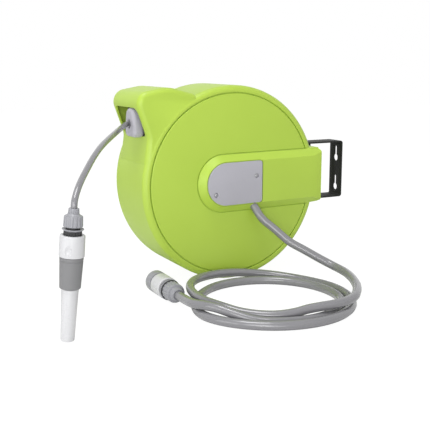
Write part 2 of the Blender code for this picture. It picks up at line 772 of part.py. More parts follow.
cut(rear_cover, rod(AXLE_RADIUS + SLIP_FIT, 0, DRUM_REAR - WALL + SEAM_GAP / 3, DRUM, (0, 1, 0)))
screw_seat = DRUM_REAR - 0.0012
for k in range(REAR_SCREW_COUNT):
    angle = REAR_SCREW_START + 2 * math.pi * k / REAR_SCREW_COUNT
    spot = at(screw_circle * math.cos(angle), 0, screw_circle * math.sin(angle))
    join(rear_cover, rod(SCREW_BOSS_RADIUS, housing_rear - REAR_RIM_DEPTH + 2 * SEAM_GAP,
                         DRUM_REAR - WALL + 0.001, spot, (0, 1, 0)))
    cut(rear_cover,
        rod(SCREW_RADIUS + 0.0002, 0, 0.1, spot, (0, 1, 0), 16),
        rod(SCREW_HEAD_RADIUS + 0.0003, screw_seat - SEAM_GAP, 0.1, spot, (0, 1, 0), 24))
    screw_tip = housing_rear - REAR_RIM_DEPTH - SCREW_BOSS_LENGTH + 0.003
    screw = turned([
        (0, screw_seat + 0.0022),
        (SCREW_HEAD_RADIUS - 0.0012, screw_seat + 0.0022),
        (SCREW_HEAD_RADIUS, screw_seat + 0.001),
        (SCREW_HEAD_RADIUS, screw_seat),
        (SCREW_RADIUS, screw_seat),
        (SCREW_RADIUS, screw_tip + 0.002),
        (0, screw_tip),
    ], spot, (0, 1, 0), 12)
    finish(screw, f"rear_screw_{k + 1}", STEEL, casing)
finish(rear_cover, "rear_cover", GREEN, casing)

# Arm cover: a hollow shell with sloped sides, and the end box that wraps the swivel side
arm_back = -DRUM_FRONT - SEAM_GAP
arm_front = -DRUM_FRONT - ARM_RISE


def sloped_slab(inset, right, back, front):
    """The arm's outline with its sides sloping in from back to front, moved in by inset."""
    corners = [
        (ARM_LEFT, ARM_BOTTOM, ARM_END_ROUND),
        (right, ARM_BOTTOM, 0),
        (right, ARM_TOP, 0),
        (ARM_LEFT, ARM_TOP, ARM_END_ROUND),
    ]
    foot = 0.0016
    obj = slab(rounded(corners, inset, 11.25), back - foot, back, "Y", DRUM)
    shell = bmesh.new()
    shell.from_mesh(obj.data)
    faces = [face for face in shell.faces if (obj.matrix_world.to_3x3() @ face.normal).y < -0.9]
    bmesh.ops.inset_region(shell, faces=faces, thickness=ARM_SLOPE, depth=back - foot - front,
                           use_even_offset=True)
    shell.to_mesh(obj.data)
    shell.free()
    return obj


trim = 0.02
end_box_top = ARM_TOP - END_BOX_MARGIN
end_box_bottom = ARM_BOTTOM + END_BOX_MARGIN
arm_cover = sloped_slab(0, ARM_RIGHT + trim, arm_back + 0.001, arm_front)
join(arm_cover, box((END_BOX_LEFT, arm_front + END_BOX_ROUND, end_box_bottom),
                    (ARM_RIGHT + trim / 2, END_BOX_REAR, end_box_top), DRUM), solver="MANIFOLD")
cut(arm_cover,
    box((ARM_RIGHT, -2 * DRUM_FRONT, -DRUM_RADIUS),
        (ARM_RIGHT + 2 * trim, 0, DRUM_RADIUS), DRUM),
    drum_outer(SEAM_GAP, -DRUM_FRONT - SEAM_GAP, 0.08),
    solver="MANIFOLD")
arm_inside = sloped_slab(ARM_WALL, ARM_RIGHT, arm_back + 0.003, arm_front + ARM_WALL)
cut(arm_cover,
    arm_inside,
    box((END_BOX_LEFT + ARM_WALL, arm_front + END_BOX_ROUND + ARM_WALL, end_box_bottom + ARM_WALL),
        (ARM_RIGHT - ARM_WALL, END_BOX_REAR - ARM_WALL, end_box_top - ARM_WALL), DRUM),
    solver="MANIFOLD")
plate_corners = [
    (ARM_LEFT + ARM_SLOPE, ARM_BOTTOM + ARM_SLOPE, ARM_END_ROUND - ARM_SLOPE),
    (PLATE_RIGHT, ARM_BOTTOM + ARM_SLOPE, PLATE_CORNER),
    (PLATE_RIGHT, ARM_TOP - ARM_SLOPE, PLATE_CORNER),
    (ARM_LEFT + ARM_SLOPE, ARM_TOP - ARM_SLOPE, ARM_END_ROUND - ARM_SLOPE),
]
seat_y = arm_front + PLATE_SEAT
cut(arm_cover,
    slab(rounded(plate_corners, PLATE_MARGIN, 11.25), arm_front - 0.01, seat_y, "Y", DRUM),
    rod(exit_radius, -0.045, 0.030, exit_place, LEAD_DIRECTION, 24),
    solver="MANIFOLD")
cover_plate = slab(rounded(plate_corners, PLATE_MARGIN + PLATE_GAP, 11.25), seat_y - PLATE_GAP - PLATE_THICKNESS,
                   seat_y - PLATE_GAP, "Y", DRUM)
plate_front = seat_y - PLATE_GAP - PLATE_THICKNESS
for number, (x, z) in enumerate(PLATE_SCREW_SPOTS, 1):
    spot = at(x, 0, z)
    cut(cover_plate,
        rod(PLATE_SCREW_RADIUS + 0.0003, plate_front - 0.01, plate_front + 0.001, spot, (0, 1, 0), 24),
        rod(SCREW_RADIUS, plate_front - 0.01, plate_front + 0.01, spot, (0, 1, 0), 20))
    join(arm_cover, rod(SCREW_BOSS_RADIUS, seat_y + 0.0002, arm_back - SEAM_GAP, spot, (0, 1, 0), 20),
         solver="MANIFOLD")
    cut(arm_cover, rod(SCREW_RADIUS, plate_front, arm_back - 0.0015, spot, (0, 1, 0), 20), solver="MANIFOLD")
    screw = turned([
        (0, arm_back - 0.003),
        (SCREW_RADIUS - 0.0003, arm_back - 0.004),
        (SCREW_RADIUS - 0.0003, plate_front + 0.0008),
        (PLATE_SCREW_RADIUS, plate_front + 0.0008),
        (PLATE_SCREW_RADIUS, plate_front + 0.0002),
        (0, plate_front + 0.0002),
    ], spot, (0, 1, 0), 20)
    finish(screw, f"plate_screw_{number}", STEEL, casing)
finish(arm_cover, "arm_cover", GREEN, casing)
finish(cover_plate, "cover_plate", GREY, casing)

# Grommet round the supply hose, and the clamp that holds the hose on the elbow
grommet = ring(supply_clear, supply_clear + GROMMET_WALL, -GROMMET_BACK, GROMMET_LENGTH - GROMMET_BACK,
               exit_place, LEAD_DIRECTION, 24)
finish(grommet, "exit_grommet", RUBBER, casing)
clamp_start = 0.001 - LEAD_BACK
hose_clamp = ring(SUPPLY_RADIUS + SEAM_GAP, SUPPLY_RADIUS + SEAM_GAP + CLAMP_WALL, clamp_start,
                  clamp_start + CLAMP_LENGTH, exit_place, LEAD_DIRECTION, 24)
finish(hose_clamp, "hose_clamp", STEEL, casing)

# Swivel knuckle, screwed to the housing wall from inside, with the bush for the pin
washer_face = inner_top - SEAM_GAP - WASHER_THICKNESS - SEAM_GAP
saddle = box((DRUM_RADIUS - 0.02, -SADDLE_HALF_WIDTH, SADDLE_BOTTOM),
             (-DRUM.x - PIVOT_REACH, SADDLE_HALF_WIDTH, SADDLE_TOP), DRUM)
knuckle = rod(KNUCKLE_RADIUS, -washer_face, washer_face, PIVOT, (0, 0, 1))
join(knuckle, saddle)
bush_radius = PIN_RADIUS + RUNNING_GAP + PIN_BUSH_WALL
cut(knuckle,
    drum_outer(SEAM_GAP, -DRUM_FRONT - SEAM_GAP, 0.08),
    rod(bush_radius + 0.0001, -half_height, half_height, PIVOT, (0, 0, 1), 20))
bolt_inner = DRUM_RADIUS - WALL - SEAM_GAP
for number, height in enumerate(KNUCKLE_BOLT_Z, 1):
    seat = math.sqrt(bolt_inner ** 2 - (abs(height) + KNUCKLE_BOLT_HEAD) ** 2) - 0.0005
    spot = at(0, 0, height)
    cut(knuckle, rod(KNUCKLE_BOLT_RADIUS + SLIP_FIT, DRUM_RADIUS - 5 * WALL, seat + KNUCKLE_BOLT_LENGTH + 0.0005, spot,
                     (1, 0, 0), 16))
    bolt = turned([
        (0, seat + KNUCKLE_BOLT_LENGTH),
        (KNUCKLE_BOLT_RADIUS, seat + KNUCKLE_BOLT_LENGTH),
        (KNUCKLE_BOLT_RADIUS, seat),
        (KNUCKLE_BOLT_HEAD, seat),
        (KNUCKLE_BOLT_HEAD, seat - KNUCKLE_BOLT_HEIGHT),
        (0, seat - KNUCKLE_BOLT_HEIGHT),
    ], spot, (1, 0, 0), 16)
    finish(bolt, f"knuckle_bolt_{number}", STEEL, casing)
finish(knuckle, "swivel_knuckle", BLACK, casing)
pin_bush = ring(PIN_RADIUS + RUNNING_GAP, bush_radius, -washer_face, washer_face, PIVOT, (0, 0, 1), 20)
finish(pin_bush, "pin_bush", WHITE, casing)

# Hollow axle between the two covers, with the inlet elbow on it
axle = ring(AXLE_BORE, AXLE_RADIUS, axle_front, DRUM_REAR - WALL, DRUM, (0, 1, 0), 24)
finish(axle, "axle", BRASS, casing)
elbow = rod(ELBOW_RADIUS, ELBOW_Y - ELBOW_LENGTH / 2, ELBOW_Y + ELBOW_LENGTH / 2, DRUM, (0, 1, 0), 24)
lead_start = exit_place - LEAD_DIRECTION * LEAD_BACK
elbow_end = lead_start - LEAD_DIRECTION * SEAM_GAP
elbow_line = hose_line(at(0.0095, ELBOW_Y, 0.0), Vector((1, 0, -0.2)).normalized(), [at(0.0175, ELBOW_Y, -0.0045)],
                       elbow_end, LEAD_DIRECTION, 0.003, 0.003)
join(elbow, tube(elbow_line, ELBOW_PIPE_RADIUS))
cut(elbow, rod(AXLE_RADIUS + SLIP_FIT, -0.1, 0.1, DRUM, (0, 1, 0)))
finish(elbow, "inlet_elbow", BLACK, casing)

# Hose guide in the mouth: a frame with two rollers that the hose runs between
guide_x = GUIDE_INSET - DRUM_RADIUS
guide_z = mouth_bottom + GUIDE_RISE
guide_place = at(guide_x, 0, guide_z)
half_depth = GUIDE_DEPTH / 2
half_guide = MOUTH_HEIGHT / 2 + GUIDE_OVERLAP
guide_front = HOOD_FRONT + WALL + SEAM_GAP
guide_rear = HOOD_REAR - WALL - GUIDE_REAR_PLAY
guide = box((-half_depth, guide_front, -half_guide), (half_depth, guide_rear, half_guide), guide_place)
cut(guide, box((-half_depth - 0.01, guide_front + GUIDE_WALL, GUIDE_WALL - half_guide),
               (half_depth + 0.01, guide_rear - GUIDE_WALL, half_guide - GUIDE_WALL), guide_place))
roller_lift = OUTLET_RADIUS + NIP_PLAY + ROLLER_RADIUS
for name, lift in (("upper", roller_lift), ("lower", -roller_lift)):
    spot = guide_place + Vector((0, 0, lift))
    roller_body = axis_empty(f"roller_{name}_body", spot, casing)
    roller = ring(ROLLER_PIN_RADIUS + RUNNING_GAP, ROLLER_RADIUS, guide_front + GUIDE_WALL + ROLLER_PLAY,
                  guide_rear - GUIDE_WALL - ROLLER_PLAY, spot, (0, 1, 0), 24)
    finish(roller, f"roller_{name}", GREY, roller_body)
    pin = rod(ROLLER_PIN_RADIUS, guide_front + 0.0002, guide_rear - 0.0002, spot, (0, 1, 0), 16)
    finish(pin, f"roller_pin_{name}", STEEL, casing)
    cut(guide, rod(ROLLER_PIN_RADIUS + 0.0001, -0.1, 0.1, spot, (0, 1, 0), 16))
finish(guide, "guide_frame", BLACK, casing)

# Spool: core with hub and web, two flanges, bushes on the axle
hub_bore = AXLE_RADIUS + RUNNING_GAP + HUB_BUSH_WALL + 0.0001
hub_radius = hub_bore + HUB_WALL
core_low = SPOOL_FRONT + FLANGE_THICKNESS + SEAM_GAP
core_high = SPOOL_REAR - FLANGE_THICKNESS - SEAM_GAP
web_y = (core_low + core_high) / 2
spool_core = turned([
    (hub_bore, core_high),
    (hub_radius, core_high),
    (hub_radius, web_y + HUB_WEB / 2),
    (CORE_RADIUS - CORE_WALL, web_y + HUB_WEB / 2),
    (CORE_RADIUS - CORE_WALL, core_high),
    (CORE_RADIUS, core_high),
    (CORE_RADIUS, core_low),
    (CORE_RADIUS - CORE_WALL, core_low),
    (CORE_RADIUS - CORE_WALL, web_y - HUB_WEB / 2),
    (hub_radius, web_y - HUB_WEB / 2),
    (hub_radius, core_low),
    (hub_bore, core_low),
], DRUM, (0, 1, 0), 24)
finish(spool_core, "spool_core", BLACK, spool)
for name, low in (("front", SPOOL_FRONT), ("rear", SPOOL_REAR - FLANGE_THICKNESS)):
    flange = ring(hub_bore, FLANGE_RADIUS, low, low + FLANGE_THICKNESS, DRUM, (0, 1, 0), 32)
    finish(flange, f"spool_flange_{name}", BLACK, spool)
for name, low in (("front", core_low), ("rear", core_high - HUB_BUSH_LENGTH)):
    bush = ring(AXLE_RADIUS + RUNNING_GAP, hub_bore - 0.0001, low, low + HUB_BUSH_LENGTH, DRUM, (0, 1, 0), 24)
    finish(bush, f"hub_bush_{name}", WHITE, spool)
wound = turned([
    (CORE_RADIUS + SEAM_GAP, core_high),
    (WOUND_RADIUS - OUTLET_RADIUS, core_high),
    (WOUND_RADIUS, core_high - OUTLET_RADIUS),
    (WOUND_RADIUS, core_low + OUTLET_RADIUS),
    (WOUND_RADIUS - OUTLET_RADIUS, core_low),
    (CORE_RADIUS + SEAM_GAP, core_low),
], DRUM, (0, 1, 0), 32)
finish(wound, "wound_hose", HOSE_GREY, spool)

# Hose union: the turning collar between the axle's port and the wound hose
union_low = web_y - HUB_WEB / 2 - SEAM_GAP - UNION_LENGTH
hose_union = ring(hub_radius + SEAM_GAP, hub_radius + UNION_RADIUS, union_low, union_low + UNION_LENGTH, DRUM,
                  (0, 1, 0), 24)
join(hose_union, rod(UNION_PIPE_RADIUS, hub_radius + UNION_RADIUS / 2, CORE_RADIUS - CORE_WALL - UNION_PIPE_GAP,
                     at(0, union_low + UNION_LENGTH / 2, 0), (-0.6, 0, 0.8), 16))
finish(hose_union, "hose_union", BRASS, spool)

# Ratchet ring on the front flange
teeth = []
for k in range(RATCHET_TEETH):
    step = 2 * math.pi / RATCHET_TEETH
    start = math.pi / 2 + step * (k + 0.35)
    teeth.append((RATCHET_ROOT * math.cos(start), RATCHET_ROOT * math.sin(start)))
    for share in (0.5, 0.96):
        radius = RATCHET_ROOT + (RATCHET_TIP - RATCHET_ROOT) * share
        angle = start + step * share
        teeth.append((radius * math.cos(angle), radius * math.sin(angle)))
ratchet_front = SPOOL_FRONT - SEAM_GAP - RATCHET_THICKNESS
ratchet = slab(teeth, ratchet_front, SPOOL_FRONT - SEAM_GAP, "Y", DRUM)
cut(ratchet, rod(RATCHET_BORE, -0.1, 0.1, DRUM, (0, 1, 0), 32))
finish(ratchet, "ratchet_ring", GREY, spool)

# Pawl on its pin, above the ratchet
pawl_place = DRUM + PAWL_PIVOT
pawl_body = axis_empty("pawl_body", pawl_place, casing)
pawl_y = ratchet_front + (RATCHET_THICKNESS - PAWL_THICKNESS) / 2
px, pz = PAWL_PIVOT.x, PAWL_PIVOT.z
pawl_outline = [
    (px - PAWL_BOSS_RADIUS * 0.3, pz - PAWL_BOSS_RADIUS * 0.95),
    (px + PAWL_BOSS_RADIUS * 0.6, pz - PAWL_BOSS_RADIUS * 0.8),
    (px + PAWL_BOSS_RADIUS, pz),
    (px + PAWL_BOSS_RADIUS * 0.6, pz + PAWL_BOSS_RADIUS * 0.8),
    (px - PAWL_BOSS_RADIUS * 0.3, pz + PAWL_BOSS_RADIUS * 0.95),
    (PAWL_TIP[0], PAWL_TIP[1] + PAWL_TIP_WIDTH),
    (PAWL_TIP[0], PAWL_TIP[1]),
]
pawl = slab(pawl_outline, pawl_y, pawl_y + PAWL_THICKNESS, "Y", DRUM)
cut(pawl, rod(PAWL_PIN_RADIUS + RUNNING_GAP, -0.1, 0.1, pawl_place, (0, 1, 0), 16))
finish(pawl, "pawl", STEEL, pawl_body)
pawl_pin = rod(PAWL_PIN_RADIUS, axle_front, SPOOL_FRONT - 0.001, pawl_place, (0, 1, 0), 16)
finish(pawl_pin, "pawl_pin", STEEL, casing)
spring_low = face_rear + PAWL_STAND + PAWL_SPRING_WIRE + SEAM_GAP
spring_high = pawl_y - PAWL_SPRING_WIRE - SEAM_GAP
coil_points = []
for k in range(PAWL_SPRING_TURNS * 8 + 1):
    angle = 2 * math.pi * k / 8
    radius = PAWL_PIN_RADIUS + PAWL_SPRING_WIRE + 0.0006
    coil_points.append(pawl_place + Vector((
        radius * math.cos(angle),
        spring_low + (spring_high - spring_low) * k / (PAWL_SPRING_TURNS * 8),
        radius * math.sin(angle))))
finish(tube(coil_points, PAWL_SPRING_WIRE, 0), "pawl_spring", STEEL, casing)

# Power spring: a steel strip wound from the arbor out to the cup on the rear flange
cup_low = SPOOL_REAR + SEAM_GAP
spring_cup = ring(SPRING_CUP_RADIUS - SPRING_CUP_WALL, SPRING_CUP_RADIUS, cup_low, cup_low + SPRING_CUP_DEPTH,
                  DRUM, (0, 1, 0))
finish(spring_cup, "spring_cup", BLACK, spool)
arbor = ring(AXLE_RADIUS + SLIP_FIT, ARBOR_RADIUS, cup_low + 0.0005, cup_low + SPRING_CUP_DEPTH - 0.0015,
             DRUM, (0, 1, 0), 24)
finish(arbor, "spring_arbor", STEEL, casing)
inner = ARBOR_RADIUS + SEAM_GAP + SPRING_STRIP
outer = SPRING_CUP_RADIUS - SPRING_CUP_WALL - SEAM_GAP - SPRING_STRIP
strip = bpy.data.curves.new("strip", "CURVE")
strip.dimensions = "3D"
strip.extrude = SPRING_WIDTH / 2
strip.render_resolution_u = 0
spline = strip.splines.new("POLY")
strip_steps = SPRING_TURNS * 12
spline.points.add(strip_steps)
for k, spot in enumerate(spline.points):
    angle = 2 * math.pi * k / 12
    radius = inner + (outer - inner) * k / strip_steps
    spot.co = (radius * math.cos(angle), radius * math.sin(angle), 0, 1)
strip_object = bpy.data.objects.new("strip", strip)
parts.objects.link(strip_object)
strip_object.location = at(0, cup_low + 0.0008 + SPRING_WIDTH / 2, 0)
strip_object.rotation_euler = (math.pi / 2, 0, 0)
power_spring = solid(strip_object)
thickness = power_spring.modifiers.new("strip", "SOLIDIFY")
thickness.thickness = SPRING_STRIP
thickness.offset = 0
finish(power_spring, "power_spring", STEEL, spool)

# Hose run from the wound pack between the rollers to the stopper
stopper_centre = Vector((STOPPER_INSET - DRUM_RADIUS, STOPPER_Y, mouth_bottom + STOPPER_SIZE.z / 2 - 0.001))
run_y = STOPPER_Y
stopper_back = stopper_centre.x + STOPPER_SIZE.x / 2 + SEAM_GAP
run_route = [
    at(GUIDE_DEPTH / 2, run_y, WOUND_RADIUS + OUTLET_RADIUS + 2 * SEAM_GAP),
    at(-2 * GUIDE_DEPTH, run_y, WOUND_RADIUS + OUTLET_RADIUS + 5 * SEAM_GAP),
    at(guide_x + GUIDE_DEPTH, run_y, guide_z),
    at(guide_x, run_y, guide_z),
    at(stopper_back, run_y, guide_z),
]
hose_run = tube(smooth_path(run_route, 0.012), OUTLET_RADIUS)
finish(hose_run, "hose_run", HOSE_GREY, casing)

# Hose stopper: a rounded block clamped round the hose at the mouth
half = STOPPER_SIZE / 2
stopper = bevelled(box(-half, half, DRUM + stopper_centre), STOPPER_ROUND, 3)
stopper_front = stopper_centre.x - half.x
recess_end = stopper_front + STOPPER_RECESS
recess = turned([(0, 0.01), (STOPPER_FLARE, 0.01), (STOPPER_FLARE, 0), (OUTLET_RADIUS + 0.001, -STOPPER_RECESS),
                 (0, -STOPPER_RECESS)], at(stopper_front, run_y, guide_z), (-1, 0, 0), 16)
cut(stopper, recess)
finish(stopper, "hose_stopper", GREY, casing)

# Outlet hose from the stopper to the nozzle's nut
nozzle = DRUM + NOZZLE_FOOT
outlet_start = at(recess_end - SEAM_GAP, run_y, guide_z)
outlet_end = nozzle + NOZZLE_UP * (NOZZLE_TOP + SEAM_GAP)
outlet_line = hose_line(outlet_start, Vector((-1, 0, 0)), [at(*p) for p in OUTLET_ROUTE], outlet_end, -NOZZLE_UP,
                        0.004, 0.007)
outlet_hose = tube(outlet_line, OUTLET_RADIUS, 1)
finish(outlet_hose, "outlet_hose", HOSE_GREY, casing)
print("outlet hose length", round(path_length(outlet_line), 4))


def nozzle_piece(name, look, profile, holder, steps=16):
    return finish(turned(profile, nozzle, NOZZLE_UP, steps), name, look, holder)


# Nozzle set, stacked along its own axis, heights from its tip
nozzle_piece("nozzle_nut", GREY, [
    (0, NOZZLE_TOP),
    (NUT_NECK_RADIUS - EDGE / 2, NOZZLE_TOP),
    (NUT_NECK_RADIUS, NOZZLE_TOP - 0.0085),
    (NUT_RADIUS - EDGE, NOZZLE_TOP - 0.0100),
    (NUT_RADIUS, NUT_LOW + EDGE),
    (NUT_RADIUS - EDGE / 2, NUT_LOW),
    (0, NUT_LOW),
], casing)
adaptor_top = NUT_LOW - SEAM_GAP
flange_top = NUT_LOW - 0.0035
flange_low = flange_top - 0.002
nozzle_piece("nozzle_adaptor", BLACK, [
    (0, adaptor_top),
    (ADAPTOR_RADIUS - EDGE, adaptor_top),
    (ADAPTOR_RADIUS - EDGE, flange_top + EDGE / 2),
    (ADAPTOR_FLANGE_RADIUS, flange_top),
    (ADAPTOR_FLANGE_RADIUS, flange_low),
    (ADAPTOR_RADIUS, flange_low - EDGE / 2),
    (ADAPTOR_RADIUS, ADAPTOR_LOW),
    (SPIGOT_RADIUS, ADAPTOR_LOW),
    (SPIGOT_RADIUS, COLLAR_LOW + 4 * EDGE),
    (0, COLLAR_LOW + 4 * EDGE),
], casing)
collar_top = ADAPTOR_LOW - EDGE
collar_body = axis_empty("nozzle_collar_body", nozzle + NOZZLE_UP * ADAPTOR_LOW, casing)
nozzle_piece("nozzle_collar", WHITE, [
    (COLLAR_BORE, collar_top),
    (COLLAR_RADIUS - EDGE, collar_top),
    (COLLAR_RADIUS, collar_top - 1.5 * EDGE),
    (COLLAR_RADIUS, COLLAR_LOW + EDGE),
    (COLLAR_RADIUS - EDGE / 2, COLLAR_LOW),
    (COLLAR_BORE, COLLAR_LOW),
], collar_body)
grip_top = COLLAR_LOW - SEAM_GAP
grip_wall = 2 * WALL
nozzle_piece("nozzle_body", DARK_GREY, [
    (NECK_BORE, COLLAR_LOW + NECK_LENGTH),
    (NECK_RADIUS, COLLAR_LOW + NECK_LENGTH),
    (NECK_RADIUS, grip_top),
    (GRIP_TOP_RADIUS, grip_top),
    (GRIP_END_RADIUS, GRIP_LOW),
    (GRIP_BORE, GRIP_LOW),
    (GRIP_BORE, COLLAR_LOW - grip_wall),
    (NECK_BORE, COLLAR_LOW - grip_wall),
], casing)
tip_slide = axis_empty("nozzle_seal_body", nozzle + NOZZLE_UP * GRIP_LOW, casing)
seal_inner = TIP_STEM_RADIUS + 0.0004
seal_outer = GRIP_BORE - 0.0004
seal_low = GRIP_LOW + 0.0175
nozzle_piece("nozzle_seal", RUBBER, [
    (seal_inner, seal_low + SEAL_LENGTH),
    (seal_outer, seal_low + SEAL_LENGTH),
    (seal_outer, seal_low),
    (seal_inner, seal_low),
], tip_slide)
tip_body = axis_empty("nozzle_tip_body", nozzle + NOZZLE_UP * GRIP_LOW, tip_slide)
nozzle_piece("nozzle_tip", WHITE, [
    (TIP_BORE, GRIP_LOW + TIP_STEM_LENGTH),
    (TIP_STEM_RADIUS, GRIP_LOW + TIP_STEM_LENGTH),
    (TIP_STEM_RADIUS, GRIP_LOW - SEAM_GAP),
    (TIP_RADIUS, GRIP_LOW - 2 * SEAM_GAP),
    (TIP_END_RADIUS, EDGE),
    (TIP_END_RADIUS - 0.7 * EDGE, 0),
    (JET_BORE, 0),
    (JET_BORE, JET_LENGTH),
    (TIP_BORE, JET_LENGTH + 2 * EDGE),
], tip_body)

# Supply hose: the lead from the elbow through the grommet, and the loose coil on the floor
coil_centre = Vector((DRUM.x + COIL_CENTRE.x, DRUM.y + COIL_CENTRE.y))
floor = DRUM.z + FLOOR


def hermite(stations, angle, column):
    """Value of a column of the stations at a turn angle, without overshoot."""
    for i in range(len(stations) - 1):
        if angle >= stations[i + 1][0]:
            break
    a, b = stations[i], stations[i + 1]
    span = b[0] - a[0]
    slope = (b[column] - a[column]) / span
    before = slope if i == 0 else (a[column] - stations[i - 1][column]) / (a[0] - stations[i - 1][0])
    after = slope
    if i + 2 < len(stations):
        after = (stations[i + 2][column] - b[column]) / (stations[i + 2][0] - b[0])
    start = (before + slope) / 2 if before * slope > 0 else 0
    end = (after + slope) / 2 if after * slope > 0 else 0
    t = (angle - a[0]) / span
    return ((2 * t ** 3 - 3 * t ** 2 + 1) * a[column] + (t ** 3 - 2 * t ** 2 + t) * span * start
            + (3 * t ** 2 - 2 * t ** 3) * b[column] + (t ** 3 - t ** 2) * span * end)


def coil_point(angle):
    radius = hermite(COIL_STATIONS, angle, 1)
    height = hermite(COIL_STATIONS, angle, 2)
    turn = math.radians(angle)
    return Vector((coil_centre.x + radius * math.cos(turn), coil_centre.y + radius * math.sin(turn), floor + height))


COIL_STEP = 10
first_angle = COIL_STATIONS[0][0]
last_angle = COIL_STATIONS[-1][0]
connector = DRUM + CONNECTOR_START
coil_end = connector - CONNECTOR_DIRECTION * SEAM_GAP
coil_line = [coil_point(first_angle - COIL_STEP * k) for k in range((first_angle - last_angle) // COIL_STEP + 1)]
coil_line += [coil_end - CONNECTOR_DIRECTION * TAP_STRAIGHT, coil_end]
coil_heading = (coil_line[1] - coil_line[0]).normalized()
lead_route = [exit_place - LEAD_DIRECTION * 0.012, exit_place + LEAD_DIRECTION * 0.004]
lead_route += [at(*p) for p in LEAD_ROUTE]
lead_line = hose_line(lead_start, LEAD_DIRECTION, lead_route, coil_line[0] - coil_heading * SEAM_GAP, coil_heading,
                      0.010, 0.012)
finish(tube(lead_line, SUPPLY_RADIUS, 2), "supply_lead", HOSE_GREY, casing)
finish(tube(coil_line, SUPPLY_RADIUS, 1), "supply_coil", HOSE_GREY, casing)
samples = evenly(coil_line, 0.004)
apart = []
for i in range(len(samples)):
    for j in range(i + 16, len(samples)):
        apart.append((samples[i] - samples[j]).length)
print("supply lead length", round(path_length(lead_line), 4))
print("supply coil length", round(path_length(coil_line), 4))
print("least gap of the coil to itself in mm", round((min(apart) - 2 * SUPPLY_RADIUS) * 1000, 2))

# Tap connector lying on the floor: nut, core, sliding collar, end ring


def connector_piece(name, look, profile, holder, steps=16):
    return finish(turned(profile, connector, CONNECTOR_DIRECTION, steps), name, look, holder)


collar_high = TAP_NUT_LENGTH + TAP_COLLAR_HIGH
collar_low = TAP_NUT_LENGTH + TAP_COLLAR_LOW
ring_low = TAP_NUT_LENGTH + TAP_RING_LOW
core_end = TAP_LENGTH - EDGE
collar_bore = TAP_CORE_RADIUS + SEAM_GAP
connector_piece("tap_nut", GREY, [
    (0, TAP_NUT_LENGTH),
    (TAP_NUT_RADIUS - EDGE / 2, TAP_NUT_LENGTH),
    (TAP_NUT_RADIUS, TAP_NUT_LENGTH - 2 * EDGE),
    (TAP_NUT_RADIUS - 0.7 * EDGE, 0.010),
    (TAP_TAIL_RADIUS + EDGE, 0.008),
    (TAP_TAIL_RADIUS, EDGE),
    (TAP_TAIL_RADIUS - 0.7 * EDGE, 0),
    (0, 0),
], casing)
connector_piece("tap_core", BLACK, [
    (TAP_BORE, core_end),
    (TAP_CORE_RADIUS, core_end),
    (TAP_CORE_RADIUS, TAP_NUT_LENGTH + 6 * EDGE),
    (TAP_FLANGE_RADIUS, TAP_NUT_LENGTH + 5 * EDGE),
    (TAP_FLANGE_RADIUS, TAP_NUT_LENGTH + SEAM_GAP),
    (TAP_BORE, TAP_NUT_LENGTH + SEAM_GAP),
], casing)
tap_collar_body = axis_empty("tap_collar_body", connector + CONNECTOR_DIRECTION * TAP_NUT_LENGTH, casing)
connector_piece("tap_collar", WHITE, [
    (collar_bore, collar_high),
    (TAP_RADIUS - EDGE / 2, collar_high),
    (TAP_RADIUS, collar_high - 2 * EDGE),
    (TAP_RADIUS, collar_low + 2 * EDGE),
    (TAP_RADIUS - 1.6 * EDGE, collar_low),
    (collar_bore, collar_low),
], tap_collar_body)
connector_piece("tap_seal", RUBBER, [
    (collar_bore, ring_low - EDGE / 2),
    (TAP_FLANGE_RADIUS, ring_low - EDGE / 2),
    (TAP_FLANGE_RADIUS, ring_low - EDGE / 2 - TAP_SEAL_LENGTH),
    (collar_bore, ring_low - EDGE / 2 - TAP_SEAL_LENGTH),
], casing)
connector_piece("tap_end_ring", GREY, [
    (collar_bore, TAP_LENGTH),
    (TAP_RADIUS - 0.8 * EDGE, TAP_LENGTH),
    (TAP_RADIUS, TAP_LENGTH - 2 * EDGE),
    (TAP_RADIUS, ring_low + 2 * EDGE),
    (TAP_RADIUS - 0.8 * EDGE, ring_low),
    (collar_bore, ring_low),
], casing)
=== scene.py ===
"""The looks of a wall-mounted retractable hose reel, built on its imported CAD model."""
import bpy
import bmesh
import math
from mathutils import Matrix, Vector


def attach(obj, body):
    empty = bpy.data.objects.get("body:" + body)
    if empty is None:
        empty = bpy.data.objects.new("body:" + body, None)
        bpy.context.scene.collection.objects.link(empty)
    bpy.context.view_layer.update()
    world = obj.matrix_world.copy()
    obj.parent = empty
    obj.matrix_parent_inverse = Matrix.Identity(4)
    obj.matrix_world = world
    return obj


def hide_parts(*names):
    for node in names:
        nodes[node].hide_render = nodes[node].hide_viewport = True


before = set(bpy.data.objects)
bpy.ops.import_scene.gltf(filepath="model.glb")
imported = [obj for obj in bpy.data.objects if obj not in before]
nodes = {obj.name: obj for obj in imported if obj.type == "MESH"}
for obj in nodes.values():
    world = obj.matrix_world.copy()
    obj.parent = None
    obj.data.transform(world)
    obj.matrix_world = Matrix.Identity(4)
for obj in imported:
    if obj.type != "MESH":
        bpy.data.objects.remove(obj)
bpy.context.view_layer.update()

# Camera at the photograph's place: a little above the reel, to the left of its face.
CAMERA_PLACE = (-0.9005, -1.2280, 0.2007)
LOOK_TURN = math.radians(-27.58)
LOOK_DOWN = math.radians(11.00)
PICTURE_WIDTH = 430
FOCAL_PIXELS = 800.9
bpy.ops.object.camera_add(location=CAMERA_PLACE)
camera = bpy.context.object
camera.name = "camera"
camera.rotation_euler = (math.pi / 2 - LOOK_DOWN, 0, LOOK_TURN)
camera.data.sensor_width = 36
camera.data.lens = camera.data.sensor_width * FOCAL_PIXELS / PICTURE_WIDTH
camera.data.clip_start = 0.01
camera.data.clip_end = 50
bpy.context.scene.camera = camera

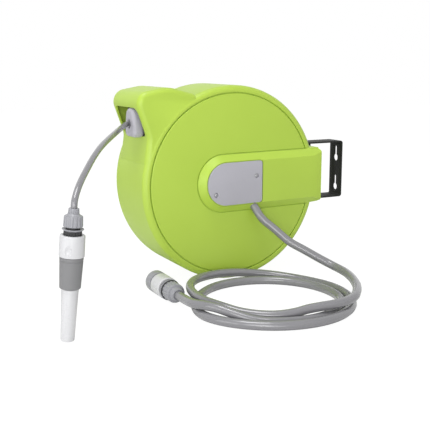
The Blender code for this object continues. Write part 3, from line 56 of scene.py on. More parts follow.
# Plain pale floor just under the coil, and a white world behind it.
# The camera and reflections see pure white; the light itself stays plain and soft.
FLOOR = -0.1722
FLOOR_GLOW = 1.12
GLOW_SHARE = 0.85
WORLD_LIGHT = 0.46
LAMP_TARGET = Vector((-0.30, -0.05, 0.0))
bpy.ops.mesh.primitive_plane_add(size=8, location=(-0.3, 0.5, FLOOR))
floor = bpy.context.object
floor.name = "floor"
floor_look = bpy.data.materials.new("floor_white")
floor_look.use_nodes = True
tree = floor_look.node_tree
tree.nodes.clear()
output = tree.nodes.new("ShaderNodeOutputMaterial")
matt = tree.nodes.new("ShaderNodeBsdfDiffuse")
matt.inputs["Color"].default_value = (0.93, 0.93, 0.93, 1)
bright = tree.nodes.new("ShaderNodeEmission")
bright.inputs["Strength"].default_value = FLOOR_GLOW
mixer = tree.nodes.new("ShaderNodeMixShader")
path = tree.nodes.new("ShaderNodeLightPath")
camera_share = tree.nodes.new("ShaderNodeMath")
camera_share.operation = "MULTIPLY"
camera_share.inputs[1].default_value = GLOW_SHARE
tree.links.new(path.outputs["Is Camera Ray"], camera_share.inputs[0])
tree.links.new(camera_share.outputs[0], mixer.inputs[0])
tree.links.new(matt.outputs[0], mixer.inputs[1])
tree.links.new(bright.outputs[0], mixer.inputs[2])
tree.links.new(mixer.outputs[0], output.inputs["Surface"])
floor.data.materials.append(floor_look)

world = bpy.data.worlds.new("studio")
bpy.context.scene.world = world
world.use_nodes = True
tree = world.node_tree
tree.nodes.clear()
output = tree.nodes.new("ShaderNodeOutputWorld")
soft = tree.nodes.new("ShaderNodeBackground")
soft.inputs["Color"].default_value = (1.0, 1.0, 1.0, 1)
soft.inputs["Strength"].default_value = WORLD_LIGHT
backdrop = tree.nodes.new("ShaderNodeBackground")
backdrop.inputs["Color"].default_value = (1.0, 1.0, 1.0, 1)
backdrop.inputs["Strength"].default_value = 1.0
path = tree.nodes.new("ShaderNodeLightPath")
seen = tree.nodes.new("ShaderNodeMath")
seen.operation = "MAXIMUM"
seen_too = tree.nodes.new("ShaderNodeMath")
seen_too.operation = "MAXIMUM"
mixer = tree.nodes.new("ShaderNodeMixShader")
tree.links.new(path.outputs["Is Camera Ray"], seen.inputs[0])
tree.links.new(path.outputs["Is Glossy Ray"], seen.inputs[1])
tree.links.new(seen.outputs[0], seen_too.inputs[0])
tree.links.new(path.outputs["Is Transmission Ray"], seen_too.inputs[1])
tree.links.new(seen_too.outputs[0], mixer.inputs[0])
tree.links.new(soft.outputs[0], mixer.inputs[1])
tree.links.new(backdrop.outputs[0], mixer.inputs[2])
tree.links.new(mixer.outputs[0], output.inputs["Surface"])
bpy.context.scene.view_settings.view_transform = "Standard"


def lamp(name, place, size, power):
    """A round lamp turned towards the reel."""
    bpy.ops.object.light_add(type="AREA", location=place)
    light = bpy.context.object
    light.name = name
    light.data.shape = "DISK"
    light.data.size = size
    light.data.energy = power
    light.rotation_euler = (LAMP_TARGET - Vector(place)).to_track_quat("-Z", "Y").to_euler()


lamp("lamp_above", (-0.75, -0.35, 1.75), 0.9, 17)
lamp("lamp_front", (-1.65, -1.75, 0.45), 1.2, 13)
lamp("lamp_left", (-2.0, -0.5, 0.15), 1.0, 5)
lamp("lamp_low", (-1.0, -1.7, -0.08), 0.9, 6.5)

# Supply hose: one smooth grey garden hose, clamped inside the arm.
# It leaves the arm through a grommet, drops to the floor and lies there in a loose coil of two and
# a half turns, with the tap connector on its end.
DRUM = Vector((-0.252, 0.0, -0.006))
SUPPLY_RADIUS = 0.007
LEAD_EXIT = Vector((0.036, -0.062, -0.040))
LEAD_DIRECTION = Vector((0.28, -0.56, -0.78)).normalized()
LEAD_BACK = 0.030
GROMMET_MIDDLE = 0.0115
LEAD_ROUTE = [
    (0.0438, -0.0766, -0.0600),
    (0.0599, -0.0932, -0.0777),
    (0.0767, -0.1116, -0.0966),
    (0.0964, -0.1311, -0.1103),
    (0.1154, -0.1511, -0.1236),
    (0.1275, -0.1700, -0.1320),
]
COIL_CENTRE = Vector((-0.020, -0.2055))
COIL_FLOOR = -0.166
COIL_STEP = 10
COIL_STATIONS = [
    (2, 0.1480, 0.0310),
    (-14, 0.1400, 0.0290),
    (-36, 0.1345, 0.0265),
    (-50, 0.1320, 0.0245),
    (-62, 0.1245, 0.0232),
    (-75, 0.1135, 0.0225),
    (-88, 0.1030, 0.0194),
    (-100, 0.1000, 0.0155),
    (-120, 0.0995, 0.0130),
    (-140, 0.1004, 0.0140),
    (-150, 0.1030, 0.0160),
    (-160, 0.1065, 0.0190),
    (-170, 0.1105, 0.0210),
    (-180, 0.1150, 0.0220),
    (-195, 0.1180, 0.0228),
    (-210, 0.1222, 0.0228),
    (-225, 0.1268, 0.0222),
    (-245, 0.1320, 0.0200),
    (-270, 0.1325, 0.0175),
    (-295, 0.1310, 0.0125),
    (-320, 0.1285, 0.0083),
    (-340, 0.1270, 0.0073),
    (-360, 0.1270, 0.0073),
    (-420, 0.1285, 0.0073),
    (-490, 0.1293, 0.0073),
    (-510, 0.1305, 0.0073),
    (-525, 0.1302, 0.0073),
    (-540, 0.1240, 0.0073),
    (-555, 0.1160, 0.0073),
    (-570, 0.1105, 0.0073),
    (-590, 0.1075, 0.0073),
    (-660, 0.1075, 0.0073),
    (-720, 0.1090, 0.0073),
    (-760, 0.1120, 0.0073),
    (-790, 0.1130, 0.0073),
    (-830, 0.1133, 0.0076),
    (-850, 0.1141, 0.0090),
    (-860, 0.1158, 0.0130),
    (-870, 0.1190, 0.0180),
    (-880, 0.1240, 0.0222),
    (-890, 0.1297, 0.0224),
    (-900, 0.1345, 0.0200),
]
TAP_START = DRUM + Vector((-0.1515, -0.156, -0.1480))
TAP_DIRECTION = Vector((0.02, 1.0, 0.0)).normalized()
TAP_STRAIGHT = 0.016
HOSE_END_GAP = 0.0003
SUPPLY_SPACING = 0.004
CURVE_STEPS = 24


def station_value(angle, column):
    """Radius or height of the coil at a turn angle, without overshoot."""
    for i in range(len(COIL_STATIONS) - 1):
        if angle >= COIL_STATIONS[i + 1][0]:
            break
    a, b = COIL_STATIONS[i], COIL_STATIONS[i + 1]
    span = b[0] - a[0]
    slope = (b[column] - a[column]) / span
    before = slope
    if i:
        before = (a[column] - COIL_STATIONS[i - 1][column]) / (a[0] - COIL_STATIONS[i - 1][0])
    after = slope
    if i + 2 < len(COIL_STATIONS):
        after = (COIL_STATIONS[i + 2][column] - b[column]) / (COIL_STATIONS[i + 2][0] - b[0])
    start = (before + slope) / 2 if before * slope > 0 else 0
    end = (after + slope) / 2 if after * slope > 0 else 0
    t = (angle - a[0]) / span
    return ((2 * t ** 3 - 3 * t ** 2 + 1) * a[column] + (t ** 3 - 2 * t ** 2 + t) * span * start
            + (3 * t ** 2 - 2 * t ** 3) * b[column] + (t ** 3 - t ** 2) * span * end)


def coil_point(angle):
    """Place on the coil's middle line at a turn angle in degrees."""
    radius = station_value(angle, 1)
    turn = math.radians(angle)
    return DRUM + Vector((COIL_CENTRE.x + radius * math.cos(turn), COIL_CENTRE.y + radius * math.sin(turn),
                          COIL_FLOOR + station_value(angle, 2)))


def smooth_route(route, spacing, start_direction, end_direction):
    """Evenly spaced points on a smooth curve through the route's points."""
    knots = [Vector(p) for p in route]
    reach = (knots[1] - knots[0]).length
    knots.insert(0, knots[1] - start_direction * 2 * reach)
    reach = (knots[-1] - knots[-2]).length
    knots.append(knots[-2] + end_direction * 2 * reach)
    dense = []
    for a, b, c, d in zip(knots, knots[1:], knots[2:], knots[3:]):
        for k in range(CURVE_STEPS):
            t = k / CURVE_STEPS
            dense.append(0.5 * (2 * b + (c - a) * t + (2 * a - 5 * b + 4 * c - d) * t * t
                                + (3 * b - a - 3 * c + d) * t * t * t))
    dense.append(knots[-2].copy())
    lengths = [0.0]
    for a, b in zip(dense, dense[1:]):
        lengths.append(lengths[-1] + (b - a).length)
    count = round(lengths[-1] / spacing)
    points = []
    i = 0
    for k in range(count + 1):
        want = lengths[-1] * k / count
        while i < len(dense) - 2 and lengths[i + 1] < want:
            i += 1
        points.append(dense[i].lerp(dense[i + 1], (want - lengths[i]) / (lengths[i + 1] - lengths[i])))
    return points


def deselect():
    """Leave nothing selected."""
    for chosen in list(bpy.context.selected_objects):
        chosen.select_set(False)


def only(piece):
    """Make this piece the one that is selected and active."""
    deselect()
    piece.select_set(True)
    bpy.context.view_layer.objects.active = piece


def smoothed(piece, angle=32):
    """Shade the piece smooth, except across edges that turn more than the angle."""
    only(piece)
    bpy.ops.object.shade_smooth_by_angle(angle=math.radians(angle))
    return piece


def hose(name, points, radius):
    """A round hose along the points, as a smooth-shaded mesh."""
    curve = bpy.data.curves.new(name, "CURVE")
    curve.dimensions = "3D"
    curve.bevel_depth = radius
    curve.bevel_resolution = 5
    curve.use_fill_caps = True
    curve.twist_mode = "MINIMUM"
    spline = curve.splines.new("POLY")
    spline.points.add(len(points) - 1)
    for point, spot in zip(points, spline.points):
        spot.co = (*point, 1)
    piece = bpy.data.objects.new(name, curve)
    bpy.context.collection.objects.link(piece)
    only(piece)
    bpy.ops.object.convert(target="MESH")
    return smoothed(piece, 50)


def dressed(piece, material, body, slot, *replaced):
    """Give a finished piece its material and its place on the moving body that carries it."""
    piece.data.materials.clear()
    piece.data.materials.append(material)
    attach(piece, body)
    if replaced:
        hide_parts(*replaced)


def surface_group():
    """Shader group: uneven tone and roughness, and a fine moulded or sprayed grain."""
    group = bpy.data.node_groups.new("worked_surface", "ShaderNodeTree")
    for name, kind in (("Light Tone", "NodeSocketColor"), ("Dark Tone", "NodeSocketColor"),
                       ("Patch Scale", "NodeSocketFloat"), ("Grain Scale", "NodeSocketFloat"),
                       ("Grain Depth", "NodeSocketFloat"), ("Least Roughness", "NodeSocketFloat"),
                       ("Most Roughness", "NodeSocketFloat")):
        group.interface.new_socket(name=name, in_out="INPUT", socket_type=kind)
    for name, kind in (("Color", "NodeSocketColor"), ("Roughness", "NodeSocketFloat"),
                       ("Normal", "NodeSocketVector")):
        group.interface.new_socket(name=name, in_out="OUTPUT", socket_type=kind)
    given = group.nodes.new("NodeGroupInput")
    out = group.nodes.new("NodeGroupOutput")
    place = group.nodes.new("ShaderNodeTexCoord")
    patches = group.nodes.new("ShaderNodeTexNoise")
    patches.inputs["Detail"].default_value = 4
    group.links.new(place.outputs["Object"], patches.inputs["Vector"])
    group.links.new(given.outputs["Patch Scale"], patches.inputs["Scale"])
    tone = group.nodes.new("ShaderNodeMix")
    tone.data_type = "RGBA"
    group.links.new(patches.outputs["Fac"], tone.inputs["Factor"])
    group.links.new(given.outputs["Light Tone"], tone.inputs["A"])
    group.links.new(given.outputs["Dark Tone"], tone.inputs["B"])
    group.links.new(tone.outputs["Result"], out.inputs["Color"])
    grain = group.nodes.new("ShaderNodeTexNoise")
    grain.inputs["Detail"].default_value = 2
    group.links.new(place.outputs["Object"], grain.inputs["Vector"])
    group.links.new(given.outputs["Grain Scale"], grain.inputs["Scale"])
    rough = group.nodes.new("ShaderNodeMapRange")
    rough.inputs["From Min"].default_value = 0.3
    rough.inputs["From Max"].default_value = 0.7
    both = group.nodes.new("ShaderNodeMath")
    both.operation = "ADD"
    halved = group.nodes.new("ShaderNodeMath")
    halved.operation = "MULTIPLY"
    halved.inputs[1].default_value = 0.5
    group.links.new(patches.outputs["Fac"], both.inputs[0])
    group.links.new(grain.outputs["Fac"], both.inputs[1])
    group.links.new(both.outputs[0], halved.inputs[0])
    group.links.new(halved.outputs[0], rough.inputs["Value"])
    group.links.new(given.outputs["Least Roughness"], rough.inputs["To Min"])
    group.links.new(given.outputs["Most Roughness"], rough.inputs["To Max"])
    group.links.new(rough.outputs["Result"], out.inputs["Roughness"])
    bump = group.nodes.new("ShaderNodeBump")
    bump.inputs["Strength"].default_value = 0.6
    group.links.new(given.outputs["Grain Depth"], bump.inputs["Distance"])
    group.links.new(grain.outputs["Fac"], bump.inputs["Height"])
    group.links.new(bump.outputs["Normal"], out.inputs["Normal"])
    return group


worked_surface = surface_group()


def finish_of(name, light, dark, roughness, grain=(900, 0.00006), patch=14, metal=0.0):
    """A material: two close tones, a range of roughness, and (scale, depth) of its grain."""
    material = bpy.data.materials.new(name)
    material.use_nodes = True
    tree = material.node_tree
    shader = tree.nodes["Principled BSDF"]
    shader.inputs["Metallic"].default_value = metal
    surface = tree.nodes.new("ShaderNodeGroup")
    surface.node_tree = worked_surface
    surface.inputs["Light Tone"].default_value = (*light, 1)
    surface.inputs["Dark Tone"].default_value = (*dark, 1)
    surface.inputs["Patch Scale"].default_value = patch
    surface.inputs["Grain Scale"].default_value = grain[0]
    surface.inputs["Grain Depth"].default_value = grain[1]
    surface.inputs["Least Roughness"].default_value = roughness[0]
    surface.inputs["Most Roughness"].default_value = roughness[1]
    for output, socket in (("Color", "Base Color"), ("Roughness", "Roughness"), ("Normal", "Normal")):
        tree.links.new(surface.outputs[output], shader.inputs[socket])
    return material


hose_skin = finish_of("hose_skin", (0.215, 0.213, 0.226), (0.198, 0.196, 0.208), (0.22, 0.30),
                      grain=(1500, 0.00004), patch=30)
hose_skin.node_tree.nodes["Principled BSDF"].inputs["Coat Weight"].default_value = 0.7
hose_skin.node_tree.nodes["Principled BSDF"].inputs["Coat Roughness"].default_value = 0.10

lead_start = DRUM + LEAD_EXIT - LEAD_DIRECTION * LEAD_BACK
hose_exit = DRUM + LEAD_EXIT - LEAD_DIRECTION * GROMMET_MIDDLE
first_turn = COIL_STATIONS[0][0]
last_turn = COIL_STATIONS[-1][0]
coil = [coil_point(first_turn - COIL_STEP * k) for k in range((first_turn - last_turn) // COIL_STEP + 1)]
lead = [DRUM + LEAD_EXIT + LEAD_DIRECTION * 0.004] + [DRUM + Vector(p) for p in LEAD_ROUTE]
tap_foot = TAP_START - TAP_DIRECTION * HOSE_END_GAP
supply_route = smooth_route([hose_exit, *lead, *coil, tap_foot - TAP_DIRECTION * TAP_STRAIGHT, tap_foot],
                            SUPPLY_SPACING, LEAD_DIRECTION, TAP_DIRECTION)
supply_hose = hose("supply_hose", supply_route, SUPPLY_RADIUS)
dressed(supply_hose, hose_skin, "casing", "hose_grey", "supply_coil", "supply_lead")
hidden_lead = hose("supply_hose_inside", [lead_start, (lead_start + hose_exit) / 2, hose_exit], SUPPLY_RADIUS)
dressed(hidden_lead, hose_skin, "casing", "hose_grey")

# Outlet hose: the thinner hose that winds into the reel.
# It comes out of its stopper, bends down under the nozzle's weight and ends in the nozzle's nut.
OUTLET_RADIUS = 0.0045
OUTLET_START = DRUM + Vector((-0.1673, -0.0180, 0.1050))
OUTLET_ROUTE = [
    (-0.1820, -0.0255, 0.1040),
    (-0.2202, -0.0770, 0.0952),
    (-0.2576, -0.1272, 0.0843),
    (-0.2820, -0.1599, 0.0725),
    (-0.3032, -0.1883, 0.0579),
    (-0.3190, -0.2095, 0.0453),
    (-0.3297, -0.2239, 0.0330),
]
NOZZLE_FOOT = DRUM + Vector((-0.3490, -0.2250, -0.1648))
NOZZLE_UP = Vector((0.073, -0.038, 1.0)).normalized()
NOZZLE_TOP = 0.1815
OUTLET_SPACING = 0.003
OUTLET_EASE = 0.004
outlet_end = NOZZLE_FOOT + NOZZLE_UP * (NOZZLE_TOP + HOSE_END_GAP)
outlet_inner = [OUTLET_START + Vector((-OUTLET_EASE, 0, 0)), *[DRUM + Vector(p) for p in OUTLET_ROUTE],
                outlet_end + NOZZLE_UP * OUTLET_EASE]
outlet_curve = smooth_route(outlet_inner, OUTLET_SPACING, Vector((-1, 0, 0)), -NOZZLE_UP)
outlet_route = [OUTLET_START, *outlet_curve, outlet_end]
outlet_hose = hose("outlet_hose_free", outlet_route, OUTLET_RADIUS)
dressed(outlet_hose, hose_skin, "casing", "hose_grey", "outlet_hose")

# Wall bracket: one strip of 3 mm steel bent to a U and powder-coated black.
# Its back has two keyholes for wall screws, and its ears, rounded at their ends, hold the swivel pin.
PIVOT = Vector((-0.074, 0, 0))
BRACKET_SHEET = 0.003
BRACKET_WIDTH = 0.036
BRACKET_HALF = 0.0525
BRACKET_BEND = 0.005
KEYHOLE_RISE = 0.0275
KEYHOLE_LENGTH = 0.0285
KEYHOLE_RADIUS = 0.0065
KEYHOLE_SLOT = 0.0032
PIN_RADIUS = 0.004
CUT_FAR = 0.1
POLE = 0.000001
MERGE = 0.000005


def settled(piece):
    """Put the piece's place, turn and size in its mesh."""
    only(piece)
    bpy.ops.object.transform_apply(location=True, rotation=True, scale=True)
    return piece


def stood(piece, place, axis):
    """Stand a piece that was made along Z on its own place and axis."""
    piece.rotation_mode = "QUATERNION"
    piece.rotation_quaternion = Vector(axis).to_track_quat("Z", "Y")
    piece.location = place
    return settled(piece)


def outline(corners, inset=0.0, facet=7.5):
    """Outline through (x, y, radius) corners given anticlockwise, moved in by inset."""
    count = len(corners)
    lines = []
    for i in range(count):
        a = Vector(corners[i][:2])
        run = (Vector(corners[(i + 1) % count][:2]) - a).normalized()
        lines.append((a + Vector((-run.y, run.x)) * inset, run))
    points = []
    for i in range(count):
        p, run_in = lines[i - 1]
        q, run_out = lines[i]
        cross = run_in.x * run_out.y - run_in.y * run_out.x
        gap = q - p
        corner = p + run_in * ((gap.x * run_out.y - gap.y * run_out.x) / cross)
        turn = math.atan2(cross, run_in.dot(run_out))
        side = 1 if turn > 0 else -1
        radius = corners[i][2]
        if radius:
            radius -= inset * side
        if radius <= 0:
            points.append(corner)
            continue
        setback = radius * math.tan(abs(turn) / 2)
        centre = corner - run_in * setback + Vector((-run_in.y, run_in.x)) * radius * side
        spoke = (corner - run_in * setback) - centre
        steps = max(1, round(math.degrees(abs(turn)) / facet))
        for k in range(steps + 1):
            points.append(centre + Matrix.Rotation(turn * k / steps, 2) @ spoke)
    return points


def arc(middle, radius, start, end, steps):
    """Points of an arc between two angles in degrees."""
    angles = [math.radians(start + (end - start) * k / steps) for k in range(steps + 1)]
    return [(middle[0] + radius * math.cos(a), middle[1] + radius * math.sin(a)) for a in angles]


def slab(name, points, low, high, axis, origin=(0, 0, 0)):
    """A flat disc drawn out to the outline's shape, then extruded along the axis from low to high."""
    deselect()
    bpy.ops.mesh.primitive_circle_add(vertices=len(points), radius=1, fill_type="NGON")
    piece = bpy.context.object
    piece.name = name
    for point, spot in zip(points, piece.data.vertices):
        spot.co = {"X": (low, point[0], point[1]), "Y": (point[0], low, point[1]),
                   "Z": (point[0], point[1], low)}[axis]
    along = {"X": (high - low, 0, 0), "Y": (0, high - low, 0), "Z": (0, 0, high - low)}[axis]
    bpy.ops.object.mode_set(mode="EDIT")
    bpy.ops.mesh.select_all(action="SELECT")
    bpy.ops.mesh.extrude_region_move(TRANSFORM_OT_translate={"value": along})
    bpy.ops.mesh.select_all(action="SELECT")
    bpy.ops.mesh.normals_make_consistent(inside=False)
    bpy.ops.object.mode_set(mode="OBJECT")
    piece.location = origin
    return settled(piece)


def turned(name, rings, place, axis, steps=96):
    """A turned piece: a circle drawn up through (radius, height) rings, then set on its axis."""
    deselect()
    radius = max(rings[0][0], POLE)
    height = rings[0][1]
    bpy.ops.mesh.primitive_circle_add(vertices=steps, radius=radius)
    piece = bpy.context.object
    piece.name = name
    bpy.ops.object.mode_set(mode="EDIT")
    bpy.ops.mesh.select_all(action="SELECT")
    bpy.ops.transform.translate(value=(0, 0, height))
    for wider, higher in rings[1:]:
        wider = max(wider, POLE)
        bpy.ops.mesh.extrude_region_move(TRANSFORM_OT_translate={"value": (0, 0, higher - height)})
        bpy.ops.transform.resize(value=(wider / radius, wider / radius, 1), center_override=(0, 0, higher))
        radius = wider
        height = higher
    bpy.ops.mesh.select_all(action="SELECT")
    bpy.ops.mesh.remove_doubles(threshold=MERGE)
    bpy.ops.mesh.normals_make_consistent(inside=False)
    bpy.ops.object.mode_set(mode="OBJECT")
    return stood(piece, place, axis)


def rod(name, radius, low, high, place, axis, steps=48):
    """A plain round bar along the axis, for a boss or a hole."""
    return turned(name, [(0, low), (radius, low), (radius, high), (0, high)], place, axis, steps)


def block(name, low, high, origin=(0, 0, 0)):
    """A box between two corners that are given from the origin."""
    deselect()
    middle = (Vector(low) + Vector(high)) / 2 + Vector(origin)
    bpy.ops.mesh.primitive_cube_add(size=1, location=middle)
    piece = bpy.context.object
    piece.name = name
    piece.scale = Vector(high) - Vector(low)
    return settled(piece)


def combined(piece, operation, *tools):
    """The piece cut by, joined with or kept inside the tools, which are then thrown away."""
    only(piece)
    for tool in tools:
        change = piece.modifiers.new("shape", "BOOLEAN")
        change.operation = operation
        change.solver = "EXACT"
        change.object = tool
        bpy.ops.object.modifier_apply(modifier=change.name)
        bpy.data.objects.remove(tool, do_unlink=True)
    return piece


def eased(piece, width, segments, angle=40):
    """The piece with its edges that turn more than the angle rounded over."""
    only(piece)
    bevel = piece.modifiers.new("ease", "BEVEL")
    bevel.width = width
    bevel.segments = segments
    bevel.limit_method = "ANGLE"
    bevel.angle_limit = math.radians(angle)
    bpy.ops.object.modifier_apply(modifier=bevel.name)
    return piece


black_coat = finish_of("black_powder_coat", (0.012, 0.013, 0.011), (0.017, 0.018, 0.016), (0.50, 0.65),
                       grain=(1600, 0.00010))
black_coat.node_tree.nodes["Principled BSDF"].inputs["Specular IOR Level"].default_value = 0.25

flange_end = PIVOT.x - BRACKET_WIDTH / 2
strip = [
    (0, -BRACKET_HALF, BRACKET_BEND),
    (0, BRACKET_HALF, BRACKET_BEND),
    (flange_end, BRACKET_HALF, 0),
    (flange_end, BRACKET_HALF - BRACKET_SHEET, 0),
    (-BRACKET_SHEET, BRACKET_HALF - BRACKET_SHEET, BRACKET_BEND - BRACKET_SHEET),
    (-BRACKET_SHEET, BRACKET_SHEET - BRACKET_HALF, BRACKET_BEND - BRACKET_SHEET),
    (flange_end, BRACKET_SHEET - BRACKET_HALF, 0),
    (flange_end, -BRACKET_HALF, 0),
]
half_width = BRACKET_WIDTH / 2
plan = [
    (flange_end, -half_width, half_width - 0.0001),
    (0.01, -half_width, 0),
    (0.01, half_width, 0),
    (flange_end, half_width, half_width - 0.0001),
]
bracket = slab("bracket_steel", outline(strip, facet=11.25), -half_width - 0.001, half_width + 0.001, "Y")
combined(bracket, "INTERSECT", slab("plan", outline(plan, facet=5), -CUT_FAR, CUT_FAR, "Z"))
meet = math.degrees(math.asin(KEYHOLE_SLOT / KEYHOLE_RADIUS))
for side in (-1, 1):
    round_z = side * KEYHOLE_RISE - KEYHOLE_LENGTH / 2 + KEYHOLE_RADIUS
    slot_z = side * KEYHOLE_RISE + KEYHOLE_LENGTH / 2 - KEYHOLE_SLOT
    keyhole = arc((0, round_z), KEYHOLE_RADIUS, 90 + meet, 450 - meet, 36)
    keyhole += arc((0, slot_z), KEYHOLE_SLOT, 0, 180, 16)
    combined(bracket, "DIFFERENCE", slab("keyhole", keyhole, -0.01, 0.01, "X"))
combined(bracket, "DIFFERENCE", rod("pin_hole", PIN_RADIUS + 0.0003, -CUT_FAR, CUT_FAR, PIVOT, (0, 0, 1)))
eased(bracket, 0.0004, 2)
smoothed(bracket)
dressed(bracket, black_coat, "bracket", "black_steel", "wall_bracket")

# Drum housing: one green moulding, a ring wall 3 mm thick with a rounded front edge.
# The hood over the hose is moulded in one with it, with the mouth in its left end, and a ledge
# inside the front edge carries the face cover.
DRUM_RADIUS = 0.165
DRUM_FRONT = 0.056
DRUM_REAR = 0.069
WALL = 0.003
FACE_RADIUS = 0.153
FACE_GROOVE = 0.0013
EDGE_ROUND = 0.009
SEAM_GAP = 0.0003
LIP_ROUND = 0.0014
DRUM_STEPS = 160
ACROSS = (0, 1, 0)
HOUSING_REAR = DRUM_REAR - 0.0057
HOUSING_RIM = HOUSING_REAR - 0.006
HOOD_FRONT = -0.0553
HOOD_REAR = 0.061
HOOD_ROUND = 0.009
REAR_SCREW_SPOKES = [Matrix.Rotation(math.radians(-10 - 90 * k), 3, "Y") @ Vector((1, 0, 0))
                     for k in range(4)]
REAR_SCREW_CIRCLE = 0.1535
SCREW_BOSS_RADIUS = 0.0056
SCREW_BOSS_LENGTH = 0.016
SCREW_RADIUS = 0.002
HOLE_PLAY = 0.0002
KNUCKLE_BOLT_Z = [-0.014, 0.026]
KNUCKLE_BOLT_RADIUS = 0.0025
HOOD_CORNERS = [
    (-0.060, 0.100, 0),
    (-0.066, 0.151, 0),
    (-0.118, 0.1640, 0.060),
    (-0.1785, 0.1530, 0.021),
    (-0.1540, 0.083, 0.025),
    (-0.161, 0.036, 0),
    (-0.125, 0.035, 0),
]
MOUTH_CORNERS = [
    (-0.0455, 0.085, 0.009),
    (0.049, 0.085, 0.009),
    (0.049, 0.131, 0.009),
    (-0.0455, 0.131, 0.013),
]


def drum_solid(extra, low, high):
    """The drum's outside as a solid, grown by extra, with its front edge rounded."""
    rings = [(0, high)]
    rings += arc((DRUM_RADIUS - EDGE_ROUND, EDGE_ROUND - DRUM_FRONT), EDGE_ROUND + extra, 0, -90, 12)
    rings.insert(1, (rings[1][0], high))
    if low < rings[-1][1]:
        rings.append((rings[-1][0], low))
    rings.append((0, rings[-1][1]))
    return turned("drum", rings, DRUM, ACROSS, DRUM_STEPS)


def softened(piece, chosen, width, segments=3):
    """Bevel the edges whose two ends and face angle the test chooses."""
    only(piece)
    bpy.ops.object.mode_set(mode="EDIT")
    bpy.ops.mesh.select_mode(type="EDGE")
    bpy.ops.mesh.select_all(action="DESELECT")
    mesh = bmesh.from_edit_mesh(piece.data)
    for edge in mesh.edges:
        if len(edge.link_faces) == 2:
            angle = math.degrees(edge.calc_face_angle())
            edge.select_set(chosen(edge.verts[0].co - DRUM, edge.verts[1].co - DRUM, angle))
    bmesh.update_edit_mesh(piece.data)
    bpy.ops.mesh.bevel(offset=width, segments=segments, affect="EDGES", clamp_overlap=True)
    bpy.ops.object.mode_set(mode="OBJECT")
    return piece


green = finish_of("green_moulding", (0.432, 0.606, 0.068), (0.410, 0.580, 0.060), (0.34, 0.46),
                  grain=(1300, 0.00004))

ledge_front = WALL + SEAM_GAP - DRUM_FRONT
ledge_rear = ledge_front + 0.0027
lip = FACE_RADIUS + SEAM_GAP
housing = drum_solid(0, -DRUM_FRONT, HOUSING_REAR)
housing.name = "housing_shell"
hood = eased(slab("hood", outline(HOOD_CORNERS, facet=6), HOOD_FRONT, HOOD_REAR, "Y", DRUM), HOOD_ROUND, 8)
hollow = slab("hollow", outline(HOOD_CORNERS, WALL, 9), HOOD_FRONT + WALL, HOOD_REAR - WALL, "Y", DRUM)
mouth = slab("mouth", outline(MOUTH_CORNERS), -0.20, -0.145, "X", DRUM)
cavity = turned("cavity", [
    (0, 0.08),
    (DRUM_RADIUS - WALL, 0.08),
    (DRUM_RADIUS - WALL, ledge_rear),
    (FACE_RADIUS - 0.006, ledge_rear),
    (FACE_RADIUS - 0.006, ledge_front),
    (lip, ledge_front),
    *arc((lip + LIP_ROUND, LIP_ROUND - DRUM_FRONT), LIP_ROUND, 180, 270, 6),
    (lip + LIP_ROUND, -0.08),
    (0, -0.08),
], DRUM, ACROSS, DRUM_STEPS)
combined(housing, "UNION", hood)
combined(housing, "DIFFERENCE", cavity, eased(hollow, HOOD_ROUND - WALL, 3), mouth)
for spoke in REAR_SCREW_SPOKES:
    spot = DRUM + spoke * REAR_SCREW_CIRCLE
    foot = HOUSING_RIM - SCREW_BOSS_LENGTH
    combined(housing, "UNION",
             rod("boss", SCREW_BOSS_RADIUS, foot, HOUSING_RIM - SEAM_GAP, spot, ACROSS),
             rod("web", 0.004, foot + 0.001, HOUSING_RIM - SEAM_GAP - 0.001,
                 DRUM + spoke * (DRUM_RADIUS - WALL / 2 - 0.004), ACROSS))
    combined(housing, "DIFFERENCE", rod("hole", SCREW_RADIUS + HOLE_PLAY, 0, CUT_FAR, spot, ACROSS))
for height in KNUCKLE_BOLT_Z:
    combined(housing, "DIFFERENCE",
             rod("hole", KNUCKLE_BOLT_RADIUS + HOLE_PLAY, 0.15, 0.2,
                 DRUM + Vector((0, 0, height)), (1, 0, 0)))


def at_mouth(a, b, angle):
    """Whether an edge lies round the outside of the mouth."""
    near = all(v.x < -0.1545 and 0.084 < v.z < 0.132 and -0.0460 < v.y < 0.0495 for v in (a, b))
    return angle > 40 and near


softened(housing, at_mouth, 0.0012)
smoothed(housing, 30)
dressed(housing, green, "casing", "green_plastic", "drum_housing")

# Face cover: a flat green disc 3 mm thick, pressed on the housing's ledge.
# Its rim is rounded over, so that the joint shows as a groove; bosses behind it hold the axle and the
# pawl's pin, and a hole under the arm lets the supply hose through.
AXLE_RADIUS = 0.008
PAWL_PIVOT = Vector((0.030, 0.0, 0.072))
PAWL_PIN_RADIUS = 0.0025
PAWL_STAND = 0.0125
FACE_BOSS_LENGTH = 0.004
FACE_REAR = WALL - DRUM_FRONT
ARM_LEFT = -0.068
ARM_TOP = 0.051
ARM_BOTTOM = -0.045
ARM_END_ROUND = 0.0475
ARM_CORNERS = [
    (ARM_LEFT, ARM_BOTTOM - 0.0015, ARM_END_ROUND),
    (DRUM_RADIUS - 0.012, ARM_BOTTOM + 0.0012, 0),
    (DRUM_RADIUS + 0.023, ARM_BOTTOM + 0.0042, 0),
    (DRUM_RADIUS + 0.023, ARM_TOP + 0.0020, 0),
    (DRUM_RADIUS - 0.012, ARM_TOP + 0.0016, 0),
    (ARM_LEFT, ARM_TOP - 0.0010, ARM_END_ROUND),
]
CHANNEL_WIDTH = 0.0018
CHANNEL_DEPTH = 0.0017
EXIT_PLACE = DRUM + LEAD_EXIT
EXIT_RADIUS = SUPPLY_RADIUS + 0.0026
EXIT_EASE = Vector((-0.0050, 0, 0.0050))
